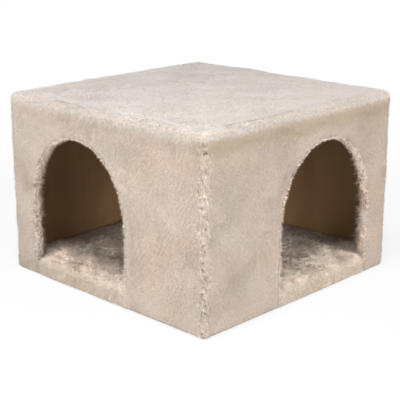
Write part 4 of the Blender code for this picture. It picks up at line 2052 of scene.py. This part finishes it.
    def _nap(self, spots: np.ndarray, normals: np.ndarray) -> np.ndarray:
        """The way that the floor was brushed: across it in swirls, and down over the sills.

        Args:
            spots: Where on the floor.
            normals: The cloth's normals there.

        Returns:
            The ways.
        """
        flat = step(normals[:, 2], 0.5, 0.9)[:, None]
        turn = 1.2 * Drift(Seed.FLOOR_SWIRLS, 0.16)(spots)
        swirls = np.stack([np.cos(turn), np.sin(turn), np.zeros(len(spots))], axis=1)
        nap = swirls * flat + DOWN * (1 - flat)
        for door in DOORWAYS:
            depth, beside = door.depth(spots), door.beside(spots)
            near = 0.6 * step(depth, 0.078, 0.040) + 0.4 * step(depth, 0.17, 0.12)
            near = near * step(beside, door.half + 0.02, door.half)
            nap = nap + (1.6 * near)[:, None] * door.side.out * flat
            at_end = 0.4 * self._at_end(door, spots, 0.008, 0.002)
            nap = nap + (at_end * np.sign(door.across(spots)))[:, None] * door.side.along
        return nap

    def _at_end(self, door: Doorway, spots: np.ndarray, start: float, full: float) -> np.ndarray:
        """Finds the ends of a sill, beside the jambs.

        Args:
            door: The sill's doorway.
            spots: Where on the floor.
            start: How far before the jamb an end starts.
            full: How far before it the share is full.

        Returns:
            The shares: 1 at the ends of the sill.
        """
        share = step(door.beside(spots), door.half - start, door.half - full)
        return share * (door.depth(spots) < self.end_depth)

    def _trim(self, spots: np.ndarray) -> np.ndarray:
        """How much of a strand's length is left: less on the sills' outer faces and low down.

        Args:
            spots: Where on the floor.

        Returns:
            The factors on the strands' length.
        """
        outer = step(BOX.inset(spots), self.sill, self.sunk)
        ends = np.maximum(*(self._at_end(door, spots, 0.006, 0.0) for door in DOORWAYS))
        above_ground = 0.35 + 0.65 * step(spots[:, 2], 0.001, 0.008)
        return (1 - 0.28 * outer) * above_ground * (1 - 0.1 * ends)

    def _map(self, spots: np.ndarray) -> np.ndarray:
        """Lays the floor out flat, with the sills' outer faces folded up into its plane.

        Args:
            spots: Where on the floor.

        Returns:
            The places on the map.
        """
        crest, drop = BOX.half - self.sill, self.level - spots[:, 2]
        across = spots[:, 0] + drop * (spots[:, 0] > crest)
        along = spots[:, 1] - drop * (spots[:, 1] < -crest)
        return np.stack([across, along], axis=1) / self.map_span + 0.5


@dataclass(frozen=True)
class Lamp:
    """A soft square lamp that looks at the cave."""

    name: str
    place: tuple[float, float, float]
    power: float
    size: float = 0.8
    colour: Colour = (1.0, 0.99, 0.97)
    looks_at: tuple[float, float, float] = (0.0, 0.0, 0.12)

    def hang(self) -> None:
        """Hangs the lamp in the scene."""
        data = bpy.data.lights.new(self.name, "AREA")
        data.size = self.size
        data.energy = self.power
        data.color = self.colour
        way = Vector(self.place) - Vector(self.looks_at)
        turn = way.to_track_quat("Z", "Y").to_matrix().to_4x4()
        to_scene(self.name, data).matrix_world = Matrix.Translation(self.place) @ turn


LAMPS = (
    Lamp("overhead", (0.45, -0.82, 2.1), 37.5, colour=(0.98, 1.0, 1.01)),
    Lamp("left_fill", (-0.12, -2.65, 0.75), 34.2),
    Lamp("front_fill", (1.75, -1.75, 0.55), 3.5, size=0.6),
    Lamp("right_fill", (2.65, 0.15, 0.75), 28.1),
    Lamp("right_high", (2.35, 0.10, 1.45), 9.5),
)


@dataclass
class Studio:
    """The camera, the lamps, the pale floor and the surroundings."""

    azimuth: float = radians(44.10)
    elevation: float = radians(16.65)
    roll: float = radians(-0.03)
    distance: float = 1.695
    target: tuple[float, float, float] = (0.0064, -0.0080, 0.1184)
    lens: float = 92.96
    sensor: float = 36.0
    floor_half: float = 6.0
    floor_fades: tuple[float, float] = (0.45, 1.1)

    def camera(self) -> None:
        """Places the camera where the photograph was taken from."""
        flat = cos(self.elevation)
        back = Vector((sin(self.azimuth) * flat, -cos(self.azimuth) * flat, sin(self.elevation)))
        data = bpy.data.cameras.new("camera")
        data.lens = self.lens
        data.sensor_width = self.sensor
        turn = back.to_track_quat("Z", "Y").to_matrix().to_4x4()
        place = Matrix.Translation(Vector(self.target) + back * self.distance)
        camera = to_scene("camera", data)
        camera.matrix_world = place @ (turn @ Matrix.Rotation(self.roll, 4, "Z"))
        bpy.context.scene.camera = camera

    def surroundings(self) -> None:
        """Makes the world: soft light on the cave, and a pale plain ground for the camera."""
        world = bpy.data.worlds.new("surroundings")
        world.use_nodes = True
        tree = Tree(world.node_tree)
        inputs = tree.nodes["Background"].inputs
        tree.plug(inputs["Color"], (1.0, 0.99, 0.98))
        tree.plug(inputs["Strength"], 0.15)
        pale = tree.add("ShaderNodeBackground", sockets={"Strength": 1.0})
        sockets = {0: tree.seen(), 1: tree.own("Background"), 2: pale}
        choice = tree.add("ShaderNodeMixShader", sockets=sockets)
        tree.plug(tree.nodes["World Output"].inputs["Surface"], choice)
        bpy.context.scene.world = world

    def floor(self) -> None:
        """Makes the floor, which the camera sees as white away from the cave's shadow."""
        shader = Shader("studio_floor", roughness=0.8)
        shader.set(Base_Color=(0.82, 0.82, 0.82), Specular_IOR_Level=0.1)
        glow = shader.add("ShaderNodeEmission", sockets={"Strength": 1.0}, output="Emission")
        settings, sockets = {"operation": "LENGTH"}, {0: shader.spots()}
        away = shader.add("ShaderNodeVectorMath", settings, sockets, output="Value")
        share = 0.86 + 0.14 * shader.between(away, *self.floor_fades)
        sockets = {0: shader.seen() * share, 1: shader.own("Principled BSDF"), 2: glow}
        mixed = shader.add("ShaderNodeMixShader", sockets=sockets)
        shader.plug(shader.nodes["Material Output"].inputs["Surface"], mixed)
        shape = bmesh.new()
        bmesh.ops.create_grid(shape, x_segments=1, y_segments=1, size=self.floor_half)
        to_object("studio_floor", shape, shader.material)

    def build(self) -> None:
        """Sets up the whole studio and the plain view."""
        self.camera()
        for lamp in LAMPS:
            lamp.hang()
        self.surroundings()
        self.floor()
        bpy.context.scene.view_settings.view_transform = "Standard"


@dataclass
class Body:
    """The boards, nails and staples, which keep the model's shapes and get their own finishes."""

    board: bpy.types.Material
    steel: bpy.types.Material

    def dress(self) -> None:
        """Gives each board and each fixing its material."""
        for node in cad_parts:
            if node.endswith(("_board", "_wall")):
                chosen = self.board
            elif "_nail_" in node or "_staple_" in node:
                chosen = self.steel
            else:
                continue
            for holder in bpy.data.objects[node].material_slots:
                holder.material = chosen
            log.info("%s: %s", node, chosen.name)


@dataclass(frozen=True)
class Cut:
    """How a cloth was cut, and how it is held."""

    flat: tuple[float, float]
    area: float
    rests_on: tuple[str, ...]
    held: Held = Held.STRETCHED

    def declare(self, cloth: bpy.types.Object, pile: Sequence[bpy.types.Object]) -> None:
        """Logs the size that a cloth was cut to.

        Args:
            cloth: Its backing.
            pile: The pieces of pile on it. They are not used.
        """
        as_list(pile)
        log.info("%s: cut from %.3f by %.3f m", cloth.name, *self.flat)


def main() -> None:
    """Builds the studio and the cave's pieces in order."""
    Studio().build()
    backing, pile = BackingFinish().make(), PlushFinish().make()
    Body(BoardFinish().make(), SteelFinish().make()).dress()

    cover = Cover(backing, pile)
    cloth = cover.cloth()
    cut = Cut((1.10, 1.10), 0.672, ("top_board", "front_wall", "base_board"))
    cut.declare(cloth, cover.plant(cloth))

    # The strips lie in shade and are painted paler, as painted light, the right one more.
    for edging in (
        Edging(FRONT_DOOR, backing, pile, Seed.FRONT_STRIP_PILE, reach=0.5, paler=3.9),
        Edging(RIGHT_DOOR, backing, pile, Seed.RIGHT_STRIP_PILE, reach=1.0, paler=5.6),
    ):
        cloth = edging.cloth()
        cut = Cut((0.036, 0.62), 0.0215, (f"{edging.door.side.word}_wall",))
        cut.declare(cloth, edging.plant(cloth))

    floor = Floor(backing, FLOOR_PLUSH.make(), FoamFinish().make())
    floor.pad()
    cloth = floor.cloth()
    cut = Cut((0.50, 0.50), 0.202, ("foam_pad", "base_board"), Held.LAID)
    cut.declare(cloth, floor.plant(cloth))


if __name__ == "__main__":
    main()
